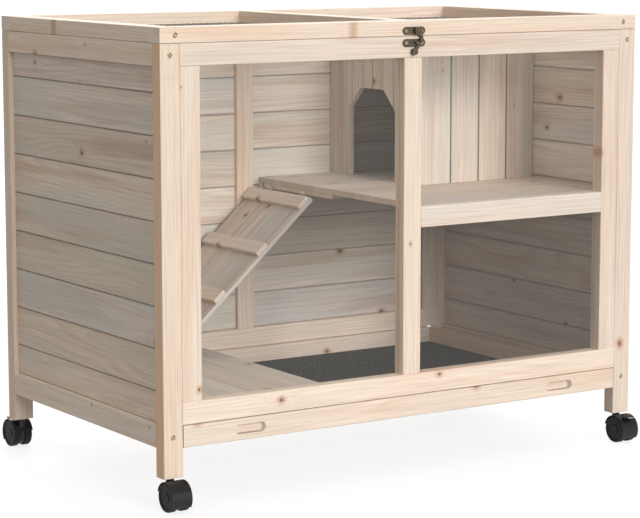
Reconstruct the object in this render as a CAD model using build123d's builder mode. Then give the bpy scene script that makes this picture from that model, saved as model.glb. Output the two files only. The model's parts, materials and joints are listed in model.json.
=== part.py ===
"""Indoor rabbit hutch on castors: a fir frame with boarded sides, a clear front, a wire lid hinged
at the back, an upper floor with a bedroom, a ladder and a pull-out tray.

Millimetres. +Z is up, +X is to the right and the front faces -Y. The origin is on the floor, under
the middle of the hutch.
"""
from build123d import *
from dataclasses import dataclass
from math import atan2, cos, degrees, radians, sin
import os

# ---------------------------------------------------------------- overall sizes
overall_width = 915.0
overall_depth = 535.0
overall_height = 730.0
castor_height = 50.0

# ---------------------------------------------------------------- timber and boards
timber_face = 34.0          # width of every rail, post and stile
timber_edge = 24.0          # thickness of the same timber
timber_ease = 1.0           # rounding of the long edges
ease_limit = 0.25           # most that an edge may lose, as a share of the timber's thickness
board_thickness = 8.0       # boards of the sides and the back
board_pitch = 64.5          # width of one board with its joint
board_joint = 0.5           # open line between two boards
board_ease = 1.2            # chamfer along each board
thin_board_ease = 0.6       # the same on the boards inside
sheet_ease = 0.2            # and on panes and panels
shortest_board = 14.0       # a narrower strip is left on the board beside it
side_first_board = 40.0     # height of the top board in the sides
back_first_board = 58.5     # height of the top board in the back

# ---------------------------------------------------------------- heights
leg_below_tray = 45.0       # leg that shows under the tray
tray_height = 34.0
tray_gap = 1.0              # gap round the tray front
side_sill_height = 36.0     # bottom rail of each side
lower_window_height = 236.0
lid_thickness = 24.0
lid_gap = 0.4               # the lid's seat

# ---------------------------------------------------------------- windows
pane_thickness = 2.0
pane_setback = 13.0         # from the front face to the pane

# ---------------------------------------------------------------- upper floor and bedroom
shelf_thickness = 10.0
shelf_from_middle = 33.0    # from the middle of the front to the shelf's free edge
shelf_batten = (25.0, 8.0)  # width and height of the batten under the free edge
shelf_batten_front = 284.0  # its front end, from the front face
shelf_batten_back = 18.0    # its back end, from the back boards
ledge_width = 12.0
ledge_height = 12.0
room_gap = 0.5              # clearance round the shelf, the walls and the platform
bedroom_depth = 268.0       # from the bedroom's front face to the back boards
bedroom_width = 256.5       # from its side wall to the right-hand boards
bedroom_wall = 10.0
bedroom_front_board = 60.4
bedroom_front_first = 64.0
bedroom_joint = 1.8
bedroom_side_first = 71.0
doorway_width = 142.0
doorway_height = 159.0
doorway_corner = 36.0
doorway_from_back = 134.0   # doorway centre to the back boards
roof_thickness = 9.0

# ---------------------------------------------------------------- resting platform
platform_width = 288.0      # from the left rail's inner face to the platform's free edge
platform_top_drop = 6.0     # below the top of the front sill
platform_thickness = 9.0
platform_batten = 20.0

# ---------------------------------------------------------------- ladder
ladder_slope = 41.6         # degrees below level
ladder_width = 182.0
ladder_board = 7.2
ladder_boards = 3
ladder_joint = 0.8
ladder_back_gap = 5.0       # from the back frame
ladder_head = 8.5           # from the hinge line to the end of the boards
ladder_foot_gap = 0.5
cleat_width = 25.0
cleat_height = 8.0
cleat_ease = 0.6
cleat_first = 4.9           # from the head of the boards to the first cleat
cleat_pitch = 111.5
eye_spacing = 108.0
eye_radius = 3.0            # to the middle of the wire
eye_wire = 0.8              # radius of the wire
eye_shift = 1.0             # shelf eye's centre beyond the hinge line
eye_drop = 14.0             # hinge line below the shelf's top
eye_reach = 7.0             # hinge line in front of the shelf's edge
eye_thread = 10.0
eye_thread_gap = 1.0        # left empty under the end of the thread

# ---------------------------------------------------------------- tray
tray_front_thickness = 18.0
tray_side_gap = 1.5
tray_wall = 22.0
tray_back_thickness = 12.0
tray_wall_top_gap = 3.0     # tray walls below the frame
tray_wall_bottom = 2.0      # tray walls above the bottom of the tray front
tray_floor_thickness = 3.5
tray_pan_thickness = 1.5
tray_back_setback = 6.0     # tray's inside stops short of the back frame's inner face
tray_fit = 0.5
groove_depth = 9.0
runner_height = 10.0
runner_lift = 12.0          # runner above the bottom of the tray front
grip_length = 56.0
grip_height = 15.0
grip_depth = 10.0
grip_from_middle = 304.0

# ---------------------------------------------------------------- lid
lid_rail = 34.0
mesh_thickness = 1.6
mesh_lift = 3.0             # above the underside of the lid
lid_screw_inset = 26.0

# ---------------------------------------------------------------- hinges
hinge_leaf = 1.5
hinge_leaf_height = 22.0
hinge_width = 48.0
hinge_barrel = 3.2
hinge_pin = 1.3
hinge_from_end = 150.0
hinge_screw_spread = 15.0   # from the middle of the hinge
hinge_screw_rise = 13.0     # from the pin
hinge_joint = 0.4
pin_fit = 0.05              # radial clearance of every turning pin

# ---------------------------------------------------------------- latch
plate_length = 43.0
plate_height = 12.6
plate_thickness = 1.5
plate_screw_spacing = 29.5
upper_plate_lift = 8.0      # upper plate's middle above the underside of the lid
lower_plate_drop = 10.5     # lower plate's middle below the top of the frame
latch_pivot_x = 5.4
arm_width = 5.2
arm_thickness = 2.0
arm_gap = 1.3               # clears the heads of the plates' screws
arm_bend = ((0.0, 0.0), (6.5, -7.5), (8.0, -12.5), (2.0, -23.0), (-6.6, -32.6))
boss_radius = 6.4
boss_height = 1.6
latch_pin = 1.8
knob_radius = 5.4
knob_height = 4.0
catch_x = 2.4
catch_width = 5.0
catch_height = 3.6
catch_reach = 5.2
catch_lip = 2.6
catch_lip_thickness = 1.0
pin_play = 0.3
pin_head = 0.8

# ---------------------------------------------------------------- castors
wheel_radius = 22.5
wheel_width = 12.5
wheel_round = 2.0
wheel_side_gap = 0.4
web_half = 4.0
hood_gap = 0.7
hood_wall = 1.3
castor_trail = 15.0
hood_back_lift = 6.0        # hood's lower edge above the axle, on the inner side
hood_front_drop = 14.0      # and below the axle, on the outer side
web_lift = 2.5              # web's edge inside the tread
axle_radius = 3.0
stem_radius = 2.6
stem_depth = 8.0
stem_thread = 30.0
stem_thread_gap = 1.0       # left empty over the end of the stem
flange_radius = 6.5
flange_height = 1.6
neck_gap = 0.3
pedal_width = 13.0
pedal_length = 12.0
pedal_thickness = 2.2
pedal_hub = 2.4
pedal_pin = 1.0
pedal_angle = 52.0          # degrees up from level, where the pedal's pin sits on the hood
pedal_lift = 3.0            # pin's centre beyond the hood
lug_width = 2.5
lug_share = 0.14            # part of the way from the pin to the axle that a lug reaches


@dataclass(frozen=True)
class Screw:
    """One size of screw: its head, its shank and how far the head is sunk (minus: it stands proud)."""
    head_radius: float
    head_height: float
    shank_radius: float
    length: float
    sink: float


frame_screw = Screw(head_radius=4.2, head_height=2.0, shank_radius=2.0, length=45.0, sink=0.6)
plate_screw = Screw(head_radius=2.9, head_height=1.0, shank_radius=1.3, length=12.0,
                    sink=-plate_thickness - 1.0)
screw_fit = 0.05
recess_length = 0.55        # share of the head's width that the cross recess takes
recess_width = 0.9
recess_depth = 0.8

# ---------------------------------------------------------------- planes and levels that follow
left, right = -overall_width / 2, overall_width / 2
front, back = -overall_depth / 2, overall_depth / 2
inner_front, inner_back = front + timber_edge, back - timber_edge
inner_left, inner_right = left + timber_edge, right - timber_edge
leg_left, leg_right = left + timber_face, right - timber_face
bay_left, bay_right = leg_left + timber_face, leg_right - timber_face
centre_half = timber_face / 2
board_inset = (timber_edge - board_thickness) / 2
board_left, board_right = inner_left - board_inset, inner_right + board_inset
board_back = inner_back + board_inset

leg_bottom = castor_height
lid_bottom = overall_height - lid_thickness
carcass_top = lid_bottom - lid_gap
head_bottom = carcass_top - timber_face
tray_bottom = leg_bottom + leg_below_tray
side_sill_top = tray_bottom + side_sill_height
frame_bottom = tray_bottom + tray_height + tray_gap
sill_top = frame_bottom + timber_face
shelf_top = sill_top + lower_window_height + timber_face
shelf_bottom = shelf_top - shelf_thickness
shelf_left = shelf_from_middle
bedroom_left = board_right - bedroom_width
bedroom_front = board_back - bedroom_depth
bedroom_top = head_bottom - room_gap
platform_top = sill_top - platform_top_drop
platform_bottom = platform_top - platform_thickness
platform_right = inner_left + platform_width
hinge_y = back + hinge_barrel + hinge_joint
hinge_z = (carcass_top + lid_bottom) / 2
eye_x, eye_z = shelf_left - eye_reach, shelf_top - eye_drop


def finish(piece, name):
    """Label a finished piece and write it."""
    piece.part.label = name
    export_step(piece.part, f"parts/{name}.step")


def bands(start, end, first, pitch, joint):
    """Spans of the boards that cover start to end, with open joints between them."""
    step = pitch if end > start else -pitch
    edges = [start]
    seam = start + (first if end > start else -first)
    while abs(end - seam) > shortest_board and (end - seam) * step > 0:
        edges.append(seam)
        seam += step
    edges.append(end)
    spans = []
    for low, high in zip(edges, edges[1:]):
        low, high = min(low, high), max(low, high)
        lower_gap = 0 if low in (start, end) else joint / 2
        upper_gap = 0 if high in (start, end) else joint / 2
        spans.append((low + lower_gap, high - upper_gap))
    return spans


def section(x, y, z):
    """Plane, middle, size and run of a timber that fills x, y, z, drawn across its longest side."""
    plane, across, up, along = max(
        ((Plane.YZ, y, z, x), (Plane.ZX, z, x, y), (Plane.XY, x, y, z)),
        key=lambda option: option[3][1] - option[3][0])
    middle = ((across[0] + across[1]) / 2, (up[0] + up[1]) / 2)
    size = (across[1] - across[0], up[1] - up[0])
    return plane.offset(along[0]), middle, size, along[1] - along[0]


def bores_for(place, screw):
    """Sunk hole for the head and hole for the shank, as plane, radius and depth."""
    seat = screw.sink + screw.head_height
    holes = [(place, screw.shank_radius + screw_fit, max(seat, 0) + screw.length)]
    if screw.sink > 0:
        holes.append((place, screw.head_radius + screw_fit, seat))
    return holes


def timbers(name, blocks, ease=timber_ease, bores=()):
    """One node of straight timbers or boards, with eased long edges and bored holes."""
    with BuildPart() as piece:
        for x, y, z in blocks:
            plane, middle, size, run = section(x, y, z)
            with BuildSketch(plane) as outline:
                with Locations(middle):
                    Rectangle(*size)
                chamfer(outline.vertices(), min(ease, ease_limit * min(size)))
            extrude(amount=run)
        for place, radius, depth in bores:
            with BuildSketch(place):
                Circle(radius)
            extrude(amount=depth, mode=Mode.SUBTRACT)
    finish(piece, name)


def screws(name, size, places):
    """One node of equal screws. Each place is a plane on the surface, facing into the wood."""
    seat = size.sink + size.head_height
    with BuildPart() as piece:
        for place in places:
            with BuildSketch(place.offset(size.sink)):
                Circle(size.head_radius)
            extrude(amount=size.head_height)
            with BuildSketch(place.offset(seat)):
                Circle(size.shank_radius)
            extrude(amount=size.length)
            with BuildSketch(place.offset(size.sink)):
                Rectangle(2 * size.head_radius * recess_length, recess_width)
                Rectangle(recess_width, 2 * size.head_radius * recess_length)
            extrude(amount=recess_depth, mode=Mode.SUBTRACT)
    finish(piece, name)


def into_front(x, z):
    """Plane on the front face, facing into the hutch."""
    return Plane(origin=(x, front, z), x_dir=(1, 0, 0), z_dir=(0, 1, 0))


def into_back(x, z):
    """Plane on the back face, facing into the hutch."""
    return Plane(origin=(x, back, z), x_dir=(-1, 0, 0), z_dir=(0, -1, 0))


# ---------------------------------------------------------------- fastener places
leg_screw_heights = ((carcass_top + head_bottom) / 2, tray_bottom + side_sill_height / 2)
leg_screw_x = timber_face / 2
front_leg_screws = [into_front(x, z) for x in (left + leg_screw_x, right - leg_screw_x)
                    for z in leg_screw_heights]
back_leg_screws = [into_back(x, z) for x in (left + leg_screw_x, right - leg_screw_x)
                   for z in leg_screw_heights]
leg_screws = front_leg_screws + back_leg_screws
leg_bores = [hole for place in leg_screws for hole in bores_for(place, frame_screw)]
lid_middle = (lid_bottom + overall_height) / 2
lid_screw_x = (left + lid_screw_inset, right - lid_screw_inset)
lid_screws = ([into_front(x, lid_middle) for x in lid_screw_x]
              + [into_back(x, lid_middle) for x in lid_screw_x])
lid_bores = [hole for place in lid_screws for hole in bores_for(place, frame_screw)]

upper_plate_z = lid_bottom + upper_plate_lift
lower_plate_z = carcass_top - lower_plate_drop
plate_screw_x = (-plate_screw_spacing / 2, plate_screw_spacing / 2)
hinge_x = (left + hinge_from_end, right - hinge_from_end)
hinge_screw_x = [x + side * hinge_screw_spread for x in hinge_x for side in (-1, 1)]
catch_screws = [into_front(x, lower_plate_z) for x in plate_screw_x]
latch_screws = [into_front(x, upper_plate_z) for x in plate_screw_x]
fixed_leaf_screws = [into_back(x, hinge_z - hinge_screw_rise) for x in hinge_screw_x]
lid_leaf_screws = [into_back(x, hinge_z + hinge_screw_rise) for x in hinge_screw_x]


def plate_bores(places):
    """Holes in the wood for the small screws at these places."""
    return [hole for place in places for hole in bores_for(place, plate_screw)]


# ---------------------------------------------------------------- frame
def legs():
    """Four corner legs, each bored for its castor's stem and its screws."""
    corners = {
        "leg_front_left": ((left, leg_left), (front, inner_front)),
        "leg_front_right": ((leg_right, right), (front, inner_front)),
        "leg_back_left": ((left, leg_left), (inner_back, back)),
        "leg_back_right": ((leg_right, right), (inner_back, back)),
    }
    for name, (x, y) in corners.items():
        stem = Plane(origin=(sum(x) / 2, sum(y) / 2, leg_bottom))
        bores = leg_bores + [(stem, stem_radius + screw_fit, stem_thread)]
        timbers(name, [(x, y, (leg_bottom, carcass_top))], bores=bores)


def sides():
    """Rails and boards of the two sides."""
    y = (inner_front, inner_back)
    rows = bands(head_bottom, side_sill_top, side_first_board, board_pitch, board_joint)
    for side, x, board_x in (("left", (left, inner_left), (left + board_inset, board_left)),
                             ("right", (inner_right, right), (board_right, right - board_inset))):
        rails = [(x, y, (head_bottom, carcass_top)), (x, y, (tray_bottom, side_sill_top))]
        timbers(f"side_rails_{side}", rails, bores=leg_bores)
        timbers(f"side_boards_{side}", [(board_x, y, z) for z in rows], ease=board_ease)


def back_panel():
    """Frame and boards of the back."""
    y = (inner_back, back)
    posts = [(leg_left, bay_left), (-centre_half, centre_half), (bay_right, leg_right)]
    bores = plate_bores(fixed_leaf_screws)
    timbers("back_rails", [((leg_left, leg_right), y, (head_bottom, carcass_top)),
                                ((leg_left, leg_right), y, (frame_bottom, sill_top))], bores=bores)
    timbers("back_posts", [(x, y, (sill_top, head_bottom)) for x in posts])
    rows = bands(head_bottom, sill_top, back_first_board, board_pitch, board_joint)
    board_y = (board_back, back - board_inset)
    bays = [(bay_left, -centre_half), (centre_half, bay_right)]
    timbers("back_boards", [(x, board_y, z) for x in bays for z in rows], ease=board_ease)


def front_frame():
    """Rails, stiles and crossbar of the front, and the three clear panes."""
    y = (front, inner_front)
    stile_z = (sill_top, head_bottom)
    head_bores = plate_bores(catch_screws)
    timbers("front_head_rail", [((leg_left, leg_right), y, (head_bottom, carcass_top))],
            bores=head_bores)
    timbers("front_sill_rail", [((leg_left, leg_right), y, (frame_bottom, sill_top))])
    timbers("front_stile_left", [((leg_left, bay_left), y, stile_z)])
    timbers("front_stile_centre", [((-centre_half, centre_half), y, stile_z)])
    timbers("front_stile_right", [((bay_right, leg_right), y, stile_z)])
    timbers("front_crossbar", [((centre_half, bay_right), y, (shelf_top - timber_face, shelf_top))])
    pane_y = (front + pane_setback, front + pane_setback + pane_thickness)
    panes = [((bay_left, -centre_half), pane_y, stile_z),
             ((centre_half, bay_right), pane_y, (shelf_top, head_bottom)),
             ((centre_half, bay_right), pane_y, (sill_top, shelf_top - timber_face))]
    timbers("window_panes", panes, ease=sheet_ease)


# ---------------------------------------------------------------- inside
def upper_floor():
    """Shelf boards, the ledges that carry them and the batten under the free edge."""
    shelf_back = board_back - room_gap
    shelf_right = board_right - room_gap
    rows = bands(inner_front + room_gap, inner_back - room_gap, board_pitch, board_pitch, board_joint)
    boards = [((shelf_left, shelf_right), y, (shelf_bottom, shelf_top)) for y in rows]
    infill = (inner_back - room_gap + board_joint, shelf_back)
    boards.append(((shelf_left, bay_right - room_gap), infill, (shelf_bottom, shelf_top)))
    timbers("shelf_boards", boards, ease=thin_board_ease)
    batten_width, batten_height = shelf_batten
    batten = ((shelf_left, shelf_left + batten_width),
              (front + shelf_batten_front, board_back - shelf_batten_back),
              (shelf_bottom - batten_height, shelf_bottom))
    ledge_z = (shelf_bottom - ledge_height, shelf_bottom)
    front_ledge = ((shelf_left, inner_right - ledge_width), (inner_front, inner_front + ledge_width), ledge_z)
    back_ledge = ((shelf_left, bay_right), (board_back - ledge_width, board_back), ledge_z)
    side_ledge = ((board_right - ledge_width, board_right), (inner_front, inner_back), ledge_z)
    eye_bores = [(eye_plane(y), eye_wire + screw_fit, eye_thread) for y in eye_rows()]
    timbers("shelf_battens", [batten, front_ledge, back_ledge, side_ledge], bores=eye_bores)


def bedroom():
    """Bedroom on the upper floor: side wall with its doorway, front wall and roof."""
    wall_z = (shelf_top, bedroom_top)
    side_x = (bedroom_left, bedroom_left + bedroom_wall)
    side_rows = bands(board_back - room_gap, bedroom_front, bedroom_side_first, board_pitch, board_joint)
    door_y = board_back - doorway_from_back
    with BuildPart() as side_wall:
        for y in side_rows:
            plane, middle, size, run = section(side_x, y, wall_z)
            with BuildSketch(plane) as outline:
                with Locations(middle):
                    Rectangle(*size)
                chamfer(outline.vertices(), board_ease)
            extrude(amount=run)
        with BuildSketch(Plane(origin=(side_x[0], door_y, shelf_top), x_dir=(0, 1, 0), z_dir=(1, 0, 0))):
            with BuildLine():
                half, shoulder = doorway_width / 2, doorway_height - doorway_corner
                Polyline((-half, 0), (-half, shoulder), (doorway_corner - half, doorway_height),
                         (half - doorway_corner, doorway_height), (half, shoulder), (half, 0),
                         close=True)
            make_face()
        extrude(amount=bedroom_wall, mode=Mode.SUBTRACT)
    finish(side_wall, "bedroom_side_wall")
    front_rows = bands(bedroom_left + bedroom_wall + room_gap, board_right - room_gap,
                       bedroom_front_first, bedroom_front_board, bedroom_joint)
    front_y = (bedroom_front, bedroom_front + bedroom_wall)
    timbers("bedroom_front_wall", [(x, front_y, wall_z) for x in front_rows], ease=thin_board_ease)
    roof_rows = bands(bedroom_front, inner_back - room_gap, board_pitch, board_pitch, board_joint)
    roof_x = (bedroom_left, inner_right - room_gap)
    roof_z = (bedroom_top, bedroom_top + roof_thickness)
    timbers("bedroom_roof", [(roof_x, y, roof_z) for y in roof_rows], ease=thin_board_ease)


def platform():
    """Raised boards over the left of the tray, on two battens."""
    y = (inner_front + room_gap, inner_back - room_gap)
    rows = bands(platform_right, inner_left + room_gap, board_pitch, board_pitch, board_joint)
    timbers("platform_boards", [(x, y, (platform_bottom, platform_top)) for x in rows], ease=thin_board_ease)
    batten_x = (inner_left, platform_right)
    batten_z = (side_sill_top, platform_bottom)
    timbers("platform_battens", [(batten_x, (inner_front, inner_front + platform_batten), batten_z),
                                      (batten_x, (inner_back - platform_batten, inner_back), batten_z)])


# ---------------------------------------------------------------- ladder
ladder_back = inner_back - ladder_back_gap
ladder_front = ladder_back - ladder_width
ladder_down = (-cos(radians(ladder_slope)), 0, -sin(radians(ladder_slope)))
ladder_up = (-sin(radians(ladder_slope)), 0, cos(radians(ladder_slope)))
ladder_side = Plane(origin=(eye_x, ladder_front, eye_z), x_dir=ladder_down, z_dir=(0, 1, 0))
ladder_half = ladder_board / 2
ladder_drop = eye_z - platform_top - ladder_foot_gap - ladder_half * cos(radians(ladder_slope))
ladder_end = ladder_drop / sin(radians(ladder_slope))


def eye_rows():
    """Places of the two pairs of screw eyes, front to back."""
    middle = (ladder_front + ladder_back) / 2
    return (middle - eye_spacing / 2, middle + eye_spacing / 2)


def eye_plane(y):
    """Plane on the shelf batten's free face, facing into it, at a screw eye."""
    return Plane(origin=(shelf_left, y, eye_z), x_dir=(0, 1, 0), z_dir=(1, 0, 0))


def down_ladder(y, run):
    """Plane across the ladder, this far down from the hinge line, facing down the slope."""
    origin = (eye_x + run * ladder_down[0], y, eye_z + run * ladder_down[2])
    return Plane(origin=origin, x_dir=(0, 1, 0), z_dir=ladder_down)


def ladder():
    """Boards and cleats of the ladder."""
    rows = bands(ladder_front, ladder_back, ladder_width / ladder_boards,
                 ladder_width / ladder_boards, ladder_joint)
    with BuildPart() as boards:
        for low, high in rows:
            with BuildSketch(ladder_side.offset(low - ladder_front)):
                with Locations(((ladder_head + ladder_end) / 2, 0)):
                    Rectangle(ladder_end - ladder_head, ladder_board)
            extrude(amount=high - low)
        for y in eye_rows():
            with BuildSketch(down_ladder(y, ladder_head)):
                Circle(eye_wire + screw_fit)
            extrude(amount=eye_thread, mode=Mode.SUBTRACT)
    finish(boards, "ladder_boards")
    starts = [ladder_head + cleat_first]
    while starts[-1] + cleat_pitch + cleat_width < ladder_end:
        starts.append(starts[-1] + cleat_pitch)
    with BuildPart() as cleats:
        with BuildSketch(ladder_side):
            for start in starts:
                with BuildLine():
                    top = ladder_half + cleat_height
                    end = start + cleat_width
                    Polyline((start, ladder_half), (start, top - cleat_ease), (start + cleat_ease, top),
                             (end - cleat_ease, top), (end, top - cleat_ease), (end, ladder_half),
                             close=True)
                make_face()
        extrude(amount=ladder_width)
    finish(cleats, "ladder_cleats")


def screw_eyes():
    """Linked screw eyes: one pair in the shelf batten, one pair in the head of the ladder."""
    with BuildPart() as shelf_eyes:
        for y in eye_rows():
            ring_x = eye_x + eye_shift
            with Locations(Plane(origin=(ring_x, y, eye_z), z_dir=(0, 1, 0))):
                Torus(eye_radius, eye_wire)
            shank_x = ring_x + eye_radius
            with BuildSketch(Plane(origin=(shank_x, y, eye_z), x_dir=(0, 1, 0), z_dir=(1, 0, 0))):
                Circle(eye_wire)
            extrude(amount=shelf_left + eye_thread - eye_thread_gap - shank_x)
    finish(shelf_eyes, "shelf_screw_eyes")
    with BuildPart() as ladder_eyes:
        for y in eye_rows():
            ring = down_ladder(y, eye_radius)
            with Locations(Plane(origin=ring.origin, x_dir=(0, 1, 0), z_dir=ladder_up)):
                Torus(eye_radius, eye_wire)
            with BuildSketch(down_ladder(y, 2 * eye_radius)):
                Circle(eye_wire)
            extrude(amount=ladder_head + eye_thread - eye_thread_gap - 2 * eye_radius)
    finish(ladder_eyes, "ladder_screw_eyes")


# ---------------------------------------------------------------- tray
def tray():
    """Pull-out tray: front, walls grooved for the runners, floor and pan."""
    front_back = front + tray_front_thickness
    wall_z = (tray_bottom + tray_wall_bottom, frame_bottom - tray_wall_top_gap)
    back_inner = inner_back - tray_back_setback
    back_outer = back_inner + tray_back_thickness
    outer_left, outer_right = leg_left + tray_side_gap, leg_right - tray_side_gap
    wall_left, wall_right = outer_left + tray_wall, outer_right - tray_wall
    runner_z = (tray_bottom + runner_lift, tray_bottom + runner_lift + runner_height)
    with BuildPart() as tray_front:
        front_x = (leg_left + tray_gap, leg_right - tray_gap)
        front_z = (tray_bottom, tray_bottom + tray_height)
        plane, middle, size, run = section(front_x, (front, front_back), front_z)
        with BuildSketch(plane) as outline:
            with Locations(middle):
                Rectangle(*size)
            chamfer(outline.vertices(), timber_ease)
        extrude(amount=run)
        with BuildSketch(into_front(0, sum(front_z) / 2)):
            with Locations((-grip_from_middle, 0), (grip_from_middle, 0)):
                SlotOverall(grip_length, grip_height)
        extrude(amount=grip_depth, mode=Mode.SUBTRACT)
    finish(tray_front, "tray_front")
    wall_y = (front_back, back_outer)
    with BuildPart() as walls:
        for x, groove_x in (((outer_left, wall_left), outer_left + groove_depth / 2),
                            ((wall_right, outer_right), outer_right - groove_depth / 2)):
            plane, middle, size, run = section(x, wall_y, wall_z)
            with BuildSketch(plane):
                with Locations(middle):
                    Rectangle(*size)
                with Locations((sum(runner_z) / 2, groove_x)):
                    Rectangle(runner_height + 2 * tray_fit, groove_depth, mode=Mode.SUBTRACT)
            extrude(amount=run)
    finish(walls, "tray_sides")
    floor_x = (wall_left, wall_right)
    floor_z = (wall_z[0], wall_z[0] + tray_floor_thickness)
    pan_z = (floor_z[1], floor_z[1] + tray_pan_thickness)
    timbers("tray_back", [(floor_x, (back_inner, back_outer), wall_z)])
    timbers("tray_floor", [(floor_x, (front_back, back_inner), floor_z)], ease=sheet_ease)
    pan_x = (wall_left + tray_fit, wall_right - tray_fit)
    timbers("tray_pan", [(pan_x, (front_back + tray_fit, back_inner - tray_fit), pan_z)], ease=sheet_ease)
    reach = tray_side_gap + groove_depth - tray_fit
    runner_y = (inner_front + room_gap, inner_back - room_gap)
    timbers("tray_runners", [((inner_left, leg_left + reach), runner_y, runner_z),
                                  ((leg_right - reach, inner_right), runner_y, runner_z)])


# ---------------------------------------------------------------- lid
def lid():
    """Lid frame and its two panels of wire mesh."""
    z = (lid_bottom, overall_height)
    inner_y = (front + lid_rail, back - lid_rail)
    rail_x = {"left": (left, left + lid_rail), "centre": (-lid_rail / 2, lid_rail / 2),
              "right": (right - lid_rail, right)}
    timbers("lid_rail_front", [((left, right), (front, inner_y[0]), z)],
            bores=lid_bores + plate_bores(latch_screws))
    timbers("lid_rail_back", [((left, right), (inner_y[1], back), z)],
            bores=lid_bores + plate_bores(lid_leaf_screws))
    timbers("lid_cross_rails", [(x, inner_y, z) for x in rail_x.values()], bores=lid_bores)
    mesh_z = (lid_bottom + mesh_lift, lid_bottom + mesh_lift + mesh_thickness)
    for side, x in (("left", (rail_x["left"][1], rail_x["centre"][0])),
                    ("right", (rail_x["centre"][1], rail_x["right"][0]))):
        timbers(f"lid_mesh_{side}", [(x, inner_y, mesh_z)], ease=sheet_ease)


def hinges():
    """Two butt hinges: fixed leaves with their pins on the back rail, turning leaves on the lid."""
    knuckle = hinge_width / 3 - hinge_joint / 2
    clear = hinge_barrel + hinge_joint
    for name, up, places in (("hinge_fixed_leaves", -1, fixed_leaf_screws),
                             ("hinge_lid_leaves", 1, lid_leaf_screws)):
        with BuildPart() as leaves:
            for x in hinge_x:
                starts = [x - hinge_width / 2, x + hinge_width / 2 - knuckle]
                spans = [(start, knuckle) for start in starts]
                if up > 0:
                    middle_run = hinge_width - 2 * knuckle - 2 * hinge_joint
                    spans = [(x - middle_run / 2, middle_run)]
                with BuildSketch(Plane.YZ.offset(x - hinge_width / 2)):
                    with Locations((back + hinge_leaf / 2, hinge_z + up * (clear + hinge_leaf_height) / 2)):
                        Rectangle(hinge_leaf, hinge_leaf_height - clear)
                extrude(amount=hinge_width)
                for start, run in spans:
                    with BuildSketch(Plane.YZ.offset(start)):
                        with Locations((back + hinge_leaf / 2, hinge_z + up * clear / 2)):
                            Rectangle(hinge_leaf, clear)
                        with Locations((hinge_y, hinge_z)):
                            Circle(hinge_barrel)
                    extrude(amount=run)
                with BuildSketch(Plane.YZ.offset(x - hinge_width / 2)):
                    with Locations((hinge_y, hinge_z)):
                        Circle(hinge_pin if up < 0 else hinge_pin + pin_fit)
                extrude(amount=hinge_width, mode=Mode.ADD if up < 0 else Mode.SUBTRACT)
            for place in places:
                with BuildSketch(place):
                    Circle(plate_screw.shank_radius + screw_fit)
                extrude(amount=-hinge_leaf, mode=Mode.SUBTRACT)
        finish(leaves, name)


# ---------------------------------------------------------------- latch
def out_front(x, z, stand=0.0):
    """Plane in front of the front face by stand, facing away from the hutch."""
    return Plane(origin=(x, front - stand, z), x_dir=(1, 0, 0), z_dir=(0, -1, 0))


def latch():
    """Hook latch: plate with pivot pin on the lid, swinging arm, plate with catch on the frame."""
    arm_start = plate_thickness + arm_gap
    pin_top = arm_start + arm_thickness + boss_height + pin_play
    with BuildPart() as plate:
        with BuildSketch(out_front(0, upper_plate_z)):
            SlotOverall(plate_length, plate_height)
            with Locations(*[(x, 0) for x in plate_screw_x]):
                Circle(plate_screw.shank_radius + screw_fit, mode=Mode.SUBTRACT)
        extrude(amount=plate_thickness)
        with BuildSketch(out_front(latch_pivot_x, upper_plate_z)):
            Circle(latch_pin)
        extrude(amount=pin_top)
        with BuildSketch(out_front(latch_pivot_x, upper_plate_z, pin_top)):
            Circle(latch_pin + pin_head)
        extrude(amount=pin_head)
    finish(plate, "latch_plate")
    with BuildPart() as arm:
        pivot = out_front(latch_pivot_x, upper_plate_z, arm_start)
        with BuildSketch(pivot):
            for (x0, z0), (x1, z1) in zip(arm_bend, arm_bend[1:]):
                turn = degrees(atan2(z1 - z0, x1 - x0))
                with Locations(Location(((x0 + x1) / 2, (z0 + z1) / 2), turn)):
                    SlotCenterToCenter(((x1 - x0) ** 2 + (z1 - z0) ** 2) ** 0.5, arm_width)
        extrude(amount=arm_thickness)
        with BuildSketch(pivot):
            Circle(boss_radius)
        extrude(amount=arm_thickness + boss_height)
        with BuildSketch(pivot):
            with Locations(arm_bend[-1]):
                Circle(knob_radius)
        extrude(amount=knob_height)
        with BuildSketch(pivot):
            Circle(latch_pin + pin_fit)
        extrude(amount=arm_thickness + boss_height, mode=Mode.SUBTRACT)
    finish(arm, "latch_arm")
    with BuildPart() as catch:
        with BuildSketch(out_front(0, lower_plate_z)):
            SlotOverall(plate_length, plate_height)
            with Locations(*[(x, 0) for x in plate_screw_x]):
                Circle(plate_screw.shank_radius + screw_fit, mode=Mode.SUBTRACT)
        extrude(amount=plate_thickness)
        with BuildSketch(out_front(catch_x, lower_plate_z)):
            Rectangle(catch_width, catch_height)
        extrude(amount=catch_reach)
        with BuildSketch(out_front(catch_x + catch_lip / 2, lower_plate_z, catch_reach)):
            Rectangle(catch_width + catch_lip, catch_height)
        extrude(amount=catch_lip_thickness)
    finish(catch, "latch_catch")


# ---------------------------------------------------------------- castors
leg_centres = {
    "front_left": (left + timber_face / 2, front + timber_edge / 2, -1),
    "front_right": (right - timber_face / 2, front + timber_edge / 2, -1),
    "back_left": (left + timber_face / 2, back - timber_edge / 2, 1),
    "back_right": (right - timber_face / 2, back - timber_edge / 2, 1),
}
braked = ("front_right", "back_left")
half_castor = web_half + wheel_side_gap + wheel_width
hood_inner = wheel_radius + hood_gap
hood_outer = hood_inner + hood_wall
hood_top = leg_bottom - flange_height - neck_gap
pedal_circle = hood_outer + pedal_lift
pedal_rise = pedal_circle * sin(radians(pedal_angle))
pedal_run = pedal_circle * cos(radians(pedal_angle))


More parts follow.
